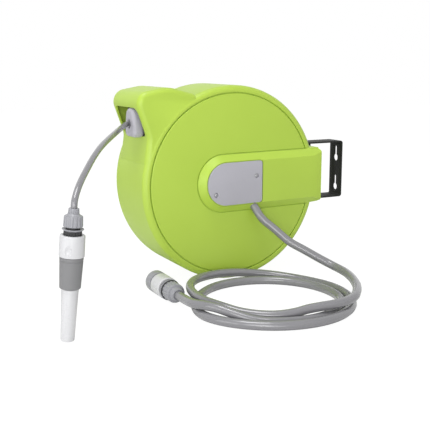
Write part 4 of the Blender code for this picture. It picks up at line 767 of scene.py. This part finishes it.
face = turned("face_disc", [
    (0, FACE_REAR),
    (FACE_RADIUS - FACE_GROOVE, FACE_REAR),
    *arc((FACE_RADIUS - FACE_GROOVE - LIP_ROUND, LIP_ROUND - DRUM_FRONT), LIP_ROUND, 0, -90, 6),
    (0, -DRUM_FRONT),
], DRUM, ACROSS, DRUM_STEPS)
pawl_place = DRUM + PAWL_PIVOT
combined(face, "UNION",
         rod("boss", AXLE_RADIUS + 0.004, FACE_REAR - 0.001, FACE_REAR + FACE_BOSS_LENGTH, DRUM, ACROSS),
         rod("boss", PAWL_PIN_RADIUS + 0.003, FACE_REAR - 0.001, FACE_REAR + PAWL_STAND, pawl_place, ACROSS))
combined(face, "DIFFERENCE",
         rod("bore", AXLE_RADIUS + HOLE_PLAY, FACE_REAR + 0.0002, 0, DRUM, ACROSS),
         rod("bore", PAWL_PIN_RADIUS + 0.0001, FACE_REAR + 0.0002, 0, pawl_place, ACROSS),
         slab("channel", outline(ARM_CORNERS, -CHANNEL_WIDTH, 5),
              -0.06, CHANNEL_DEPTH - DRUM_FRONT, "Y", DRUM),
         rod("exit", EXIT_RADIUS, -0.045, 0.010, EXIT_PLACE, LEAD_DIRECTION),
         rod("ease", EXIT_RADIUS, -0.045, 0.010, EXIT_PLACE + EXIT_EASE, LEAD_DIRECTION))
smoothed(face, 30)
dressed(face, green, "casing", "green_plastic", "face_cover")

# Rear cover: a green lid with a rounded edge and a slightly raised middle.
# Four screws in round recesses draw it against the housing.
REAR_BOSS_RADIUS = 0.036
REAR_BOSS_RISE = 0.003
SCREW_HEAD_RADIUS = 0.0035
SCREW_SEAT = DRUM_REAR - 0.0012
REAR_ROUND = 0.0050
rim = DRUM_RADIUS - WALL - SEAM_GAP
rear = turned("rear_lid", [
    (0, DRUM_REAR + REAR_BOSS_RISE),
    *arc((REAR_BOSS_RADIUS - 0.003, DRUM_REAR + REAR_BOSS_RISE - 0.0015), 0.0015, 90, 40, 4),
    *arc((REAR_BOSS_RADIUS + 0.004, DRUM_REAR + 0.0015), 0.0015, 220, 270, 4),
    *arc((DRUM_RADIUS - REAR_ROUND, DRUM_REAR - REAR_ROUND), REAR_ROUND, 90, 0, 10),
    (DRUM_RADIUS, HOUSING_REAR + SEAM_GAP),
    (rim, HOUSING_REAR + SEAM_GAP),
    (rim, HOUSING_RIM + SEAM_GAP),
    (rim - WALL, HOUSING_RIM + SEAM_GAP),
    (rim - WALL, DRUM_REAR - WALL),
    (0, DRUM_REAR - WALL),
], DRUM, ACROSS, DRUM_STEPS)
lid_inside = DRUM_REAR - WALL
combined(rear, "UNION",
         rod("boss", AXLE_RADIUS + 0.004, lid_inside - 0.0025, lid_inside + 0.001, DRUM, ACROSS))
combined(rear, "DIFFERENCE", rod("bore", AXLE_RADIUS + HOLE_PLAY, 0, lid_inside + 0.0001, DRUM, ACROSS))
for spoke in REAR_SCREW_SPOKES:
    spot = DRUM + spoke * REAR_SCREW_CIRCLE
    combined(rear, "UNION",
             rod("boss", SCREW_BOSS_RADIUS, HOUSING_RIM + 2 * SEAM_GAP, lid_inside + 0.001, spot, ACROSS))
    combined(rear, "DIFFERENCE",
             rod("hole", SCREW_RADIUS + HOLE_PLAY, 0, CUT_FAR, spot, ACROSS),
             rod("recess", SCREW_HEAD_RADIUS + 0.0004, SCREW_SEAT - SEAM_GAP, CUT_FAR, spot, ACROSS))
smoothed(rear, 30)
dressed(rear, green, "casing", "green_plastic", "rear_cover")

# Arm cover: a hollow green moulding over the supply hose's way to the swivel side.
# Its sides slope in to a flat front; an end box with soft corners wraps round the drum at the right.
ARM_RISE = 0.012
ARM_RIGHT = DRUM_RADIUS + 0.005
ARM_SLOPE = 0.012
ARM_WALL = 0.0025
ARM_BACK = -DRUM_FRONT - SEAM_GAP
ARM_FRONT = -DRUM_FRONT - ARM_RISE
ARM_FOOT = 0.0006
END_BOX_LEFT = DRUM_RADIUS - 0.019
END_BOX_FRONT = ARM_BACK - 0.0016
END_BOX_REAR = -0.0185
END_BOX_TOP = ARM_TOP + 0.003
END_BOX_BOTTOM = ARM_BOTTOM + 0.003
END_FLARE = 0.0080
PLATE_RIGHT = 0.049
PLATE_CORNER = 0.006
PLATE_MARGIN = -0.0008
PLATE_SEAT = 0.0022
PLATE_LINE = 0.0017
PLATE_CORNERS = [
    (ARM_LEFT + ARM_SLOPE, ARM_BOTTOM + ARM_SLOPE - 0.0020, ARM_END_ROUND - ARM_SLOPE),
    (PLATE_RIGHT, ARM_BOTTOM + ARM_SLOPE - 0.0005, PLATE_CORNER),
    (PLATE_RIGHT, ARM_TOP - ARM_SLOPE + 0.0008, PLATE_CORNER),
    (ARM_LEFT + ARM_SLOPE, ARM_TOP - ARM_SLOPE - 0.0008, ARM_END_ROUND - ARM_SLOPE),
]
PLATE_SCREW_SPOTS = [(-0.040, -0.015), (0.037, 0.013)]
SEAT_Y = ARM_FRONT + PLATE_SEAT


def sloped_slab(inset, back, foot, front):
    """The arm's outline moved in by inset, straight from back to foot and sloping in from there to front."""
    piece = slab("arm", outline(ARM_CORNERS, inset, 5), foot, back, "Y", DRUM)
    only(piece)
    bpy.ops.object.mode_set(mode="EDIT")
    bpy.ops.mesh.select_mode(type="FACE")
    bpy.ops.mesh.select_all(action="DESELECT")
    mesh = bmesh.from_edit_mesh(piece.data)
    for face_found in mesh.faces:
        face_found.select_set(face_found.normal.y < -0.9)
    bmesh.update_edit_mesh(piece.data)
    bpy.ops.mesh.inset(thickness=ARM_SLOPE, depth=foot - front, use_even_offset=True)
    for vert in mesh.verts:
        spot = vert.co - DRUM
        if spot.x > DRUM_RADIUS + 0.001 and spot.y < front + 0.0005:
            vert.co.z += math.copysign(END_FLARE, spot.z)
    bmesh.update_edit_mesh(piece.data)
    bpy.ops.object.mode_set(mode="OBJECT")
    return piece


arm = sloped_slab(0, ARM_BACK + 0.003, ARM_BACK - ARM_FOOT, ARM_FRONT)
combined(arm, "UNION", eased(block("end_box", (END_BOX_LEFT, END_BOX_FRONT, END_BOX_BOTTOM),
                                   (ARM_RIGHT + 0.01, END_BOX_REAR, END_BOX_TOP), DRUM), 0.0030, 4))
combined(arm, "DIFFERENCE", block("trim", (ARM_RIGHT, -0.12, -CUT_FAR), (ARM_RIGHT + 0.04, 0, CUT_FAR), DRUM))


def at_arm_front(a, b, angle):
    """Whether an edge lies round the arm's flat front or round its right end."""
    on_front = max(a.y, b.y) < ARM_FRONT + 0.0002
    on_end = min(a.x, b.x) > ARM_RIGHT - 0.0002
    return angle > 20 and (on_front or on_end)


softened(arm, at_arm_front, 0.0010, 3)
under = drum_solid(SEAM_GAP, -DRUM_FRONT - SEAM_GAP, 0.08)
foot_room = slab("foot_room", outline(ARM_CORNERS, -CHANNEL_WIDTH, 5),
                 -0.06, CHANNEL_DEPTH - SEAM_GAP - DRUM_FRONT, "Y", DRUM)
combined(foot_room, "INTERSECT",
         rod("face", FACE_RADIUS - FACE_GROOVE - LIP_ROUND, -0.06, 0.0, DRUM, ACROSS, DRUM_STEPS))
combined(under, "DIFFERENCE", foot_room)
combined(arm, "DIFFERENCE", under)
room = sloped_slab(ARM_WALL, ARM_BACK + 0.004, ARM_BACK - ARM_FOOT, ARM_FRONT + ARM_WALL)
combined(room, "DIFFERENCE",
         block("trim", (ARM_RIGHT - ARM_WALL, -0.12, -CUT_FAR), (ARM_RIGHT + 0.04, 0.01, CUT_FAR), DRUM))
combined(arm, "DIFFERENCE", room,
         block("inside", (END_BOX_LEFT + ARM_WALL, END_BOX_FRONT + ARM_WALL, END_BOX_BOTTOM + ARM_WALL),
               (ARM_RIGHT - ARM_WALL, END_BOX_REAR - ARM_WALL, END_BOX_TOP - ARM_WALL), DRUM),
         slab("seat", outline(PLATE_CORNERS, PLATE_MARGIN, 5), ARM_FRONT - 0.01, SEAT_Y, "Y", DRUM),
         rod("exit", EXIT_RADIUS, -0.045, 0.030, EXIT_PLACE, LEAD_DIRECTION),
         rod("ease", EXIT_RADIUS, -0.020, 0.030, EXIT_PLACE + EXIT_EASE, LEAD_DIRECTION))
for x, z in PLATE_SCREW_SPOTS:
    spot = DRUM + Vector((x, 0, z))
    combined(arm, "UNION",
             rod("boss", SCREW_BOSS_RADIUS, SEAT_Y + 0.0002, ARM_BACK - SEAM_GAP, spot, ACROSS))
    combined(arm, "DIFFERENCE", rod("hole", SCREW_RADIUS, SEAT_Y - 0.002, ARM_BACK - 0.0015, spot, ACROSS))
smoothed(arm, 30)
dressed(arm, green, "casing", "green_plastic", "arm_cover")

# Cover plate: a thin grey moulding let into the arm's front over the supply hose's clamp.
# Its edge is broken all round, and two small pan-head screws sit in recesses in it.
PLATE_THICKNESS = 0.0028
PLATE_GAP = 0.0003
PLATE_SCREW_RADIUS = 0.0026
RECESS_RADIUS = PLATE_SCREW_RADIUS + 0.0014
RECESS_DEPTH = 0.0025
SCREW_SINK = 0.0004
PLATE_FRONT = SEAT_Y - PLATE_GAP - PLATE_THICKNESS
grey = finish_of("grey_moulding", (0.435, 0.428, 0.472), (0.395, 0.388, 0.430), (0.38, 0.52),
                 grain=(1500, 0.00005))
zinc = finish_of("zinc_plate", (0.56, 0.56, 0.58), (0.44, 0.44, 0.46), (0.28, 0.46),
                 grain=(2600, 0.00003), patch=90, metal=1.0)


def cross_screw(name, rings, place, axis, head, depth):
    """A turned screw with a cross recess cut in its head."""
    piece = turned(name, rings, place, axis, 48)
    top = rings[0][1]
    for turn in (0, 90):
        slot = block("slot", (-0.00022, -head * 0.62, top - depth), (0.00022, head * 0.62, top + 0.001))
        slot.rotation_euler = (0, 0, math.radians(turn + 20))
        combined(piece, "DIFFERENCE", stood(settled(slot), place, axis))
    return smoothed(piece, 30)


plate = slab("plate", outline(PLATE_CORNERS, PLATE_MARGIN + PLATE_LINE, 5),
             PLATE_FRONT, SEAT_Y - PLATE_GAP, "Y", DRUM)
softened(plate, lambda a, b, angle: angle > 60 and max(a.y, b.y) < PLATE_FRONT + 0.0001, 0.0005, 3)
for number, (x, z) in enumerate(PLATE_SCREW_SPOTS, 1):
    spot = DRUM + Vector((x, 0, z))
    combined(plate, "DIFFERENCE",
             turned("recess", [
                 (0, PLATE_FRONT - 0.01),
                 (RECESS_RADIUS + 0.0004, PLATE_FRONT - 0.01),
                 (RECESS_RADIUS + 0.0004, PLATE_FRONT - 0.0002),
                 (RECESS_RADIUS, PLATE_FRONT + 0.0003),
                 (RECESS_RADIUS, PLATE_FRONT + RECESS_DEPTH),
                 (0, PLATE_FRONT + RECESS_DEPTH),
             ], spot, ACROSS, 48),
             rod("hole", SCREW_RADIUS, PLATE_FRONT - 0.01, PLATE_FRONT + 0.01, spot, ACROSS))
    low = -ARM_BACK + 0.003
    high = -PLATE_FRONT - SCREW_SINK
    screw = cross_screw(f"plate_screw_head_{number}", [
        (0, high - 0.0001),
        (PLATE_SCREW_RADIUS - 0.0009, high - 0.0002),
        (PLATE_SCREW_RADIUS - 0.0002, high - 0.0004),
        (PLATE_SCREW_RADIUS, high - 0.0006),
        (SCREW_RADIUS - 0.0003, high - 0.0006),
        (SCREW_RADIUS - 0.0003, low + 0.0010),
        (0, low),
    ], spot, (0, -1, 0), PLATE_SCREW_RADIUS, 0.0009)
    dressed(screw, zinc, "casing", "steel", f"plate_screw_{number}")
smoothed(plate, 30)
dressed(plate, grey, "casing", "grey_plastic", "cover_plate")

# Hose stopper: a grey moulded block clamped on the hose, which rests against the mouth.
# It is an upright bar with rounded sides, narrower and rounder at its top, with a flared hole at the left
# where the outlet hose comes out.
STOPPER_MIDDLE = DRUM + Vector((-0.163, -0.018, 0.107))
STOPPER_DEPTH = 0.020
STOPPER_OUTLINE = [
    (-0.0200, -0.0235, 0.008),
    (0.0200, -0.0235, 0.008),
    (0.0190, -0.0030, 0.020),
    (0.0140, 0.0235, 0.013),
    (-0.0140, 0.0235, 0.013),
    (-0.0190, -0.0030, 0.020),
]
GUIDE_Z = 0.105
stopper = slab("stopper_block", outline(STOPPER_OUTLINE),
               -STOPPER_DEPTH / 2, STOPPER_DEPTH / 2, "X", STOPPER_MIDDLE)
eased(stopper, 0.0065, 6, 50)
combined(stopper, "DIFFERENCE", turned("flare", [
    (0, 0.01),
    (0.0110, 0.01),
    (0.0080, 0.0001),
    (0.0064, -0.0020),
    (0.0055, -0.0060),
    (0, -0.0060),
], Vector((STOPPER_MIDDLE.x - STOPPER_DEPTH / 2, STOPPER_MIDDLE.y, DRUM.z + GUIDE_Z)), (-1, 0, 0), 48))
smoothed(stopper, 35)
dressed(stopper, grey, "casing", "grey_plastic", "hose_stopper")

# Nozzle set: clamp nut, quick-release adaptor, sliding collar, grip and twist tip, all moulded plastic.
# They stand on one axis that leans with the hose; heights are measured up from the tip's end.
NUT_LOW = 0.1570
NUT_RIBS = 14
FLANGE_TOP = NUT_LOW - 0.0035
COLLAR_LOW = 0.1165
COLLAR_TOP = 0.1460
COLLAR_RADIUS = 0.0170
GRIP_LOW = 0.0730
GRIP_TOP_RADIUS = 0.0160
GRIP_END_RADIUS = 0.0143
TIP_RADIUS = 0.0117
TIP_END_RADIUS = 0.0093
DIMPLE_HEIGHT = 0.1265
DIMPLE_TURN = math.radians(173)
DIMPLE_STAND = 0.0020
DIMPLE_SIZE = (0.0058, 0.0046, 0.0080)
pale_grey = finish_of("pale_grey_moulding", (0.320, 0.322, 0.345), (0.285, 0.287, 0.310), (0.32, 0.46),
                      grain=(1500, 0.00005))
dark_grey = finish_of("dark_grey_moulding", (0.215, 0.215, 0.220), (0.190, 0.190, 0.196), (0.40, 0.56),
                      grain=(1500, 0.00006))
white = finish_of("white_moulding", (0.62, 0.62, 0.635), (0.59, 0.59, 0.605), (0.24, 0.36),
                  grain=(700, 0.00003))
black = finish_of("black_moulding", (0.020, 0.020, 0.021), (0.028, 0.028, 0.030), (0.34, 0.50),
                  grain=(1500, 0.00005))


def made(name, rings, steps=96):
    """A turned piece that still stands upright at the origin."""
    return turned(name, rings, (0, 0, 0), (0, 0, 1), steps)


def fluted(name, count, root, crest, low, high):
    """An upright bar with rounded ribs all round it."""
    points = []
    for k in range(count * 12):
        wave = 0.5 + 0.5 * math.cos(2 * math.pi * k / 12)
        lift = min(1, max(0, 0.5 + 1.4 * (wave - 0.5)))
        angle = 2 * math.pi * k / (count * 12)
        radius = root + (crest - root) * lift
        points.append((radius * math.cos(angle), radius * math.sin(angle)))
    return slab(name, points, low, high, "Z")


def nozzle_piece(piece, material, body, slot, *replaced):
    """Smooth and dress a piece of the nozzle and stand it on the nozzle's axis."""
    smoothed(stood(piece, NOZZLE_FOOT, NOZZLE_UP), 30)
    dressed(piece, material, body, slot, *replaced)


nut = fluted("nozzle_clamp_nut", NUT_RIBS, 0.0119, 0.0131, NUT_LOW - 0.001, NOZZLE_TOP - 0.006)
combined(nut, "INTERSECT", made("skirt", [
    (0, NOZZLE_TOP - 0.0070),
    (0.0076, NOZZLE_TOP - 0.0070),
    (0.0088, NOZZLE_TOP - 0.0084),
    *arc((0.0112, NOZZLE_TOP - 0.0112), 0.0013, 90, 0, 4),
    (0.0130, NUT_LOW + 0.0012),
    *arc((0.0122, NUT_LOW + 0.0008), 0.0008, 0, -90, 4),
    (0, NUT_LOW),
]))
neck = fluted("neck", NUT_RIBS, 0.0067, 0.0076, NOZZLE_TOP - 0.010, NOZZLE_TOP + 0.001)
combined(neck, "INTERSECT", made("neck", [
    (0, NOZZLE_TOP),
    *arc((0.0064, NOZZLE_TOP - 0.0006), 0.0006, 90, 0, 4),
    (0.0076, NOZZLE_TOP - 0.0080),
    (0.0076, NOZZLE_TOP - 0.0090),
    (0, NOZZLE_TOP - 0.0090),
]))
combined(nut, "UNION", neck)
nozzle_piece(nut, pale_grey, "casing", "grey_plastic", "nozzle_nut")

adaptor = made("adaptor_barrel", [
    (0, NUT_LOW - 0.0003),
    (0.0090, NUT_LOW - 0.0003),
    (0.0090, FLANGE_TOP + 0.0005),
    (0.0096, FLANGE_TOP),
    (0.0096, FLANGE_TOP - 0.0024),
    (0.0112, FLANGE_TOP - 0.0024),
    (0.0112, COLLAR_TOP + 0.0005),
    (0.0100, COLLAR_TOP),
    (0.0100, COLLAR_TOP - 0.0030),
    (0.0075, COLLAR_TOP - 0.0040),
    (0.0075, COLLAR_LOW + 0.004),
    (0, COLLAR_LOW + 0.004),
])
combined(adaptor, "UNION", fluted("teeth", 18, 0.0110, 0.0121, COLLAR_TOP + 0.0004, FLANGE_TOP - 0.0022))
nozzle_piece(adaptor, black, "casing", "black_plastic", "nozzle_adaptor")
flange = made("adaptor_flange", [
    (0.0098, FLANGE_TOP + 0.0003),
    (0.0138, FLANGE_TOP + 0.0008),
    *arc((0.0142, FLANGE_TOP + 0.0003), 0.0005, 80, -60, 5),
    (0.0118, FLANGE_TOP - 0.0020),
    (0.0098, FLANGE_TOP - 0.0020),
    (0.0098, FLANGE_TOP + 0.0003),
])
nozzle_piece(flange, pale_grey, "casing", "grey_plastic")

collar = made("quick_release_collar", [
    (0.0128, COLLAR_TOP),
    *arc((COLLAR_RADIUS - 0.0014, COLLAR_TOP - 0.0012), 0.0012, 90, 0, 5),
    (COLLAR_RADIUS, COLLAR_LOW + 0.0080),
    *arc((COLLAR_RADIUS - 0.0012, COLLAR_LOW + 0.0012), 0.0012, 0, -90, 5),
    (0.0106, COLLAR_LOW),
    (0.0106, COLLAR_TOP - 0.0062),
    (0.0128, COLLAR_TOP - 0.0058),
    (0.0128, COLLAR_TOP),
])
collar_side = Vector((math.cos(DIMPLE_TURN), math.sin(DIMPLE_TURN), 0))


def dimple(side):
    """An egg-shaped cutter for a finger dimple in the collar's side."""
    bpy.ops.mesh.primitive_uv_sphere_add(segments=48, ring_count=24, radius=1)
    egg = bpy.context.object
    egg.name = "dimple"
    egg.scale = DIMPLE_SIZE
    egg.rotation_euler = (0, 0, math.atan2(side.y, side.x) - math.pi / 2)
    egg.location = side * (COLLAR_RADIUS + DIMPLE_STAND) + Vector((0, 0, DIMPLE_HEIGHT))
    return settled(egg)


for side in (collar_side, -collar_side):
    combined(collar, "DIFFERENCE", dimple(side))
nozzle_piece(collar, white, "nozzle_collar", "white_plastic", "nozzle_collar")

grip_slope = (GRIP_TOP_RADIUS - GRIP_END_RADIUS) / (COLLAR_LOW - GRIP_LOW)
grip = made("grip_barrel", [
    (0.0082, COLLAR_LOW + 0.018),
    (0.0103, COLLAR_LOW + 0.018),
    (0.0103, COLLAR_LOW - 0.0003),
    *arc((GRIP_TOP_RADIUS - 0.0006, COLLAR_LOW - 0.0009), 0.0006, 90, 0, 4),
    (GRIP_TOP_RADIUS - grip_slope * 0.0045, COLLAR_LOW - 0.0045),
    (GRIP_TOP_RADIUS - grip_slope * 0.0045 - 0.0004, COLLAR_LOW - 0.0048),
    (GRIP_TOP_RADIUS - grip_slope * 0.0055 - 0.0004, COLLAR_LOW - 0.0055),
    (GRIP_TOP_RADIUS - grip_slope * 0.0058, COLLAR_LOW - 0.0058),
    *arc((GRIP_END_RADIUS - 0.0018, GRIP_LOW + 0.0018), 0.0018, 2, -80, 6),
    (0.0125, GRIP_LOW),
    (0.0125, COLLAR_LOW - 0.006),
    (0.0082, COLLAR_LOW - 0.006),
    (0.0082, COLLAR_LOW + 0.018),
])
nozzle_piece(grip, dark_grey, "casing", "dark_grey_plastic", "nozzle_body")

tip = made("twist_tip", [
    (0.0060, GRIP_LOW + 0.030),
    (0.0100, GRIP_LOW + 0.030),
    (0.0100, GRIP_LOW - 0.0003),
    *arc((TIP_RADIUS - 0.0005, GRIP_LOW - 0.0010), 0.0005, 90, 4, 3),
    (TIP_END_RADIUS + 0.0001, 0.0016),
    *arc((TIP_END_RADIUS - 0.0015, 0.0015), 0.0015, 0, -90, 6),
    (0.0052, 0),
    (0.0040, 0.0010),
    (0.0040, 0.010),
    (0.0060, 0.012),
    (0.0060, GRIP_LOW + 0.030),
])
nozzle_piece(tip, white, "nozzle_tip", "white_plastic", "nozzle_tip")

# Tap connector: the same family of mouldings, lying on its side on the supply hose's end.
# A grey clamp nut, a black core with its flange, a white sliding collar and a grey end ring.
NUT_END = 0.030
CORE_END = 0.092
TAP_RADIUS = 0.0176


def tap_piece(piece, material, body, slot, *replaced):
    """Smooth and dress a piece of the tap connector and lay it on the connector's axis."""
    smoothed(stood(piece, TAP_START, TAP_DIRECTION), 30)
    dressed(piece, material, body, slot, *replaced)


tap_nut = fluted("tap_clamp_nut", 16, 0.0144, 0.0158, 0.006, NUT_END + 0.001)
combined(tap_nut, "INTERSECT", made("skirt", [
    (0, NUT_END - 0.0010),
    *arc((0.0143, NUT_END - 0.0022), 0.0012, 90, 0, 5),
    (0.0150, 0.0112),
    *arc((0.0134, 0.0106), 0.0014, 0, -80, 5),
    (0, 0.0080),
]))
combined(tap_nut, "UNION", made("neck", [
    (0, 0.0100),
    (0.0118, 0.0100),
    (0.0112, 0.0080),
    (0.0103, 0.0012),
    *arc((0.0091, 0.0012), 0.0012, 0, -90, 4),
    (0.0078, 0),
    (0.0074, 0.0010),
    (0, 0.0010),
]))
tap_piece(tap_nut, pale_grey, "casing", "grey_plastic", "tap_nut")
tap_piece(made("tap_core_barrel", [
    (0.0060, CORE_END),
    (0.0120, CORE_END),
    (0.0120, NUT_END + 0.0064),
    (0.0162, NUT_END + 0.0062),
    (0.0166, NUT_END + 0.0058),
    (0.0166, NUT_END + 0.0051),
    (0.0162, NUT_END + 0.0047),
    (0.0150, NUT_END + 0.0046),
    (0.0150, NUT_END + 0.0018),
    (0.0161, NUT_END + 0.0017),
    (0.0164, NUT_END + 0.0013),
    (0.0164, NUT_END - 0.0003),
    (0.0161, NUT_END - 0.0007),
    (0.0060, NUT_END - 0.0007),
    (0.0060, CORE_END),
]), black, "casing", "black_plastic", "tap_core")
tap_piece(made("tap_flange", [
    (0.0152, NUT_END + 0.0044),
    (0.0164, NUT_END + 0.0043),
    *arc((0.0164, NUT_END + 0.0036), 0.0006, 70, -70, 6),
    (0.0164, NUT_END + 0.0022),
    (0.0152, NUT_END + 0.0020),
    (0.0152, NUT_END + 0.0044),
]), pale_grey, "casing", "grey_plastic")
tap_piece(made("tap_sliding_collar", [
    (0.0123, NUT_END + 0.0420),
    *arc((TAP_RADIUS - 0.0012, NUT_END + 0.0408), 0.0012, 90, 0, 5),
    (TAP_RADIUS, NUT_END + 0.0140),
    *arc((TAP_RADIUS - 0.0020, NUT_END + 0.0125), 0.0020, 0, -90, 6),
    (0.0123, NUT_END + 0.0105),
    (0.0123, NUT_END + 0.0420),
]), white, "tap_collar", "white_plastic", "tap_collar")
tap_piece(made("tap_end_collar", [
    (0.0123, CORE_END + 0.0010),
    (0.0160, CORE_END + 0.0010),
    *arc((TAP_RADIUS - 0.0012, CORE_END - 0.0002), 0.0012, 90, 0, 5),
    (TAP_RADIUS, NUT_END + 0.0475),
    *arc((TAP_RADIUS - 0.0010, NUT_END + 0.0470), 0.0010, 0, -90, 5),
    (0.0123, NUT_END + 0.0460),
    (0.0123, CORE_END + 0.0010),
]), pale_grey, "casing", "grey_plastic", "tap_end_ring")

# Pieces inside, behind and under the covers keep their CAD shapes.
# They get the finishes of zinc-plated steel, turned brass, black, white and grey mouldings and hose.
rubber = finish_of("black_rubber", (0.022, 0.022, 0.022), (0.034, 0.034, 0.034), (0.62, 0.80),
                   grain=(2200, 0.00008))
brass = finish_of("turned_brass", (0.66, 0.47, 0.17), (0.55, 0.38, 0.13), (0.24, 0.40),
                  grain=(2400, 0.00003), patch=60, metal=1.0)
INSIDE = [
    (zinc, ["swivel_pin", "pin_clip", "knuckle_bolt_1", "knuckle_bolt_2", "hose_clamp", "roller_pin_upper",
            "roller_pin_lower", "pawl", "pawl_pin", "pawl_spring", "spring_arbor", "power_spring",
            "rear_screw_1", "rear_screw_2", "rear_screw_3", "rear_screw_4"]),
    (brass, ["axle", "hose_union"]),
    (black, ["swivel_knuckle", "inlet_elbow", "guide_frame", "spool_core", "spool_flange_front",
             "spool_flange_rear", "spring_cup"]),
    (grey, ["roller_upper", "roller_lower", "ratchet_ring"]),
    (white, ["washer_upper", "washer_lower", "pin_bush", "hub_bush_front", "hub_bush_rear"]),
    (rubber, ["exit_grommet", "nozzle_seal", "tap_seal"]),
    (hose_skin, ["hose_run", "wound_hose"]),
]
for material, names in INSIDE:
    for name in names:
        for slot in nodes[name].material_slots:
            slot.material = material
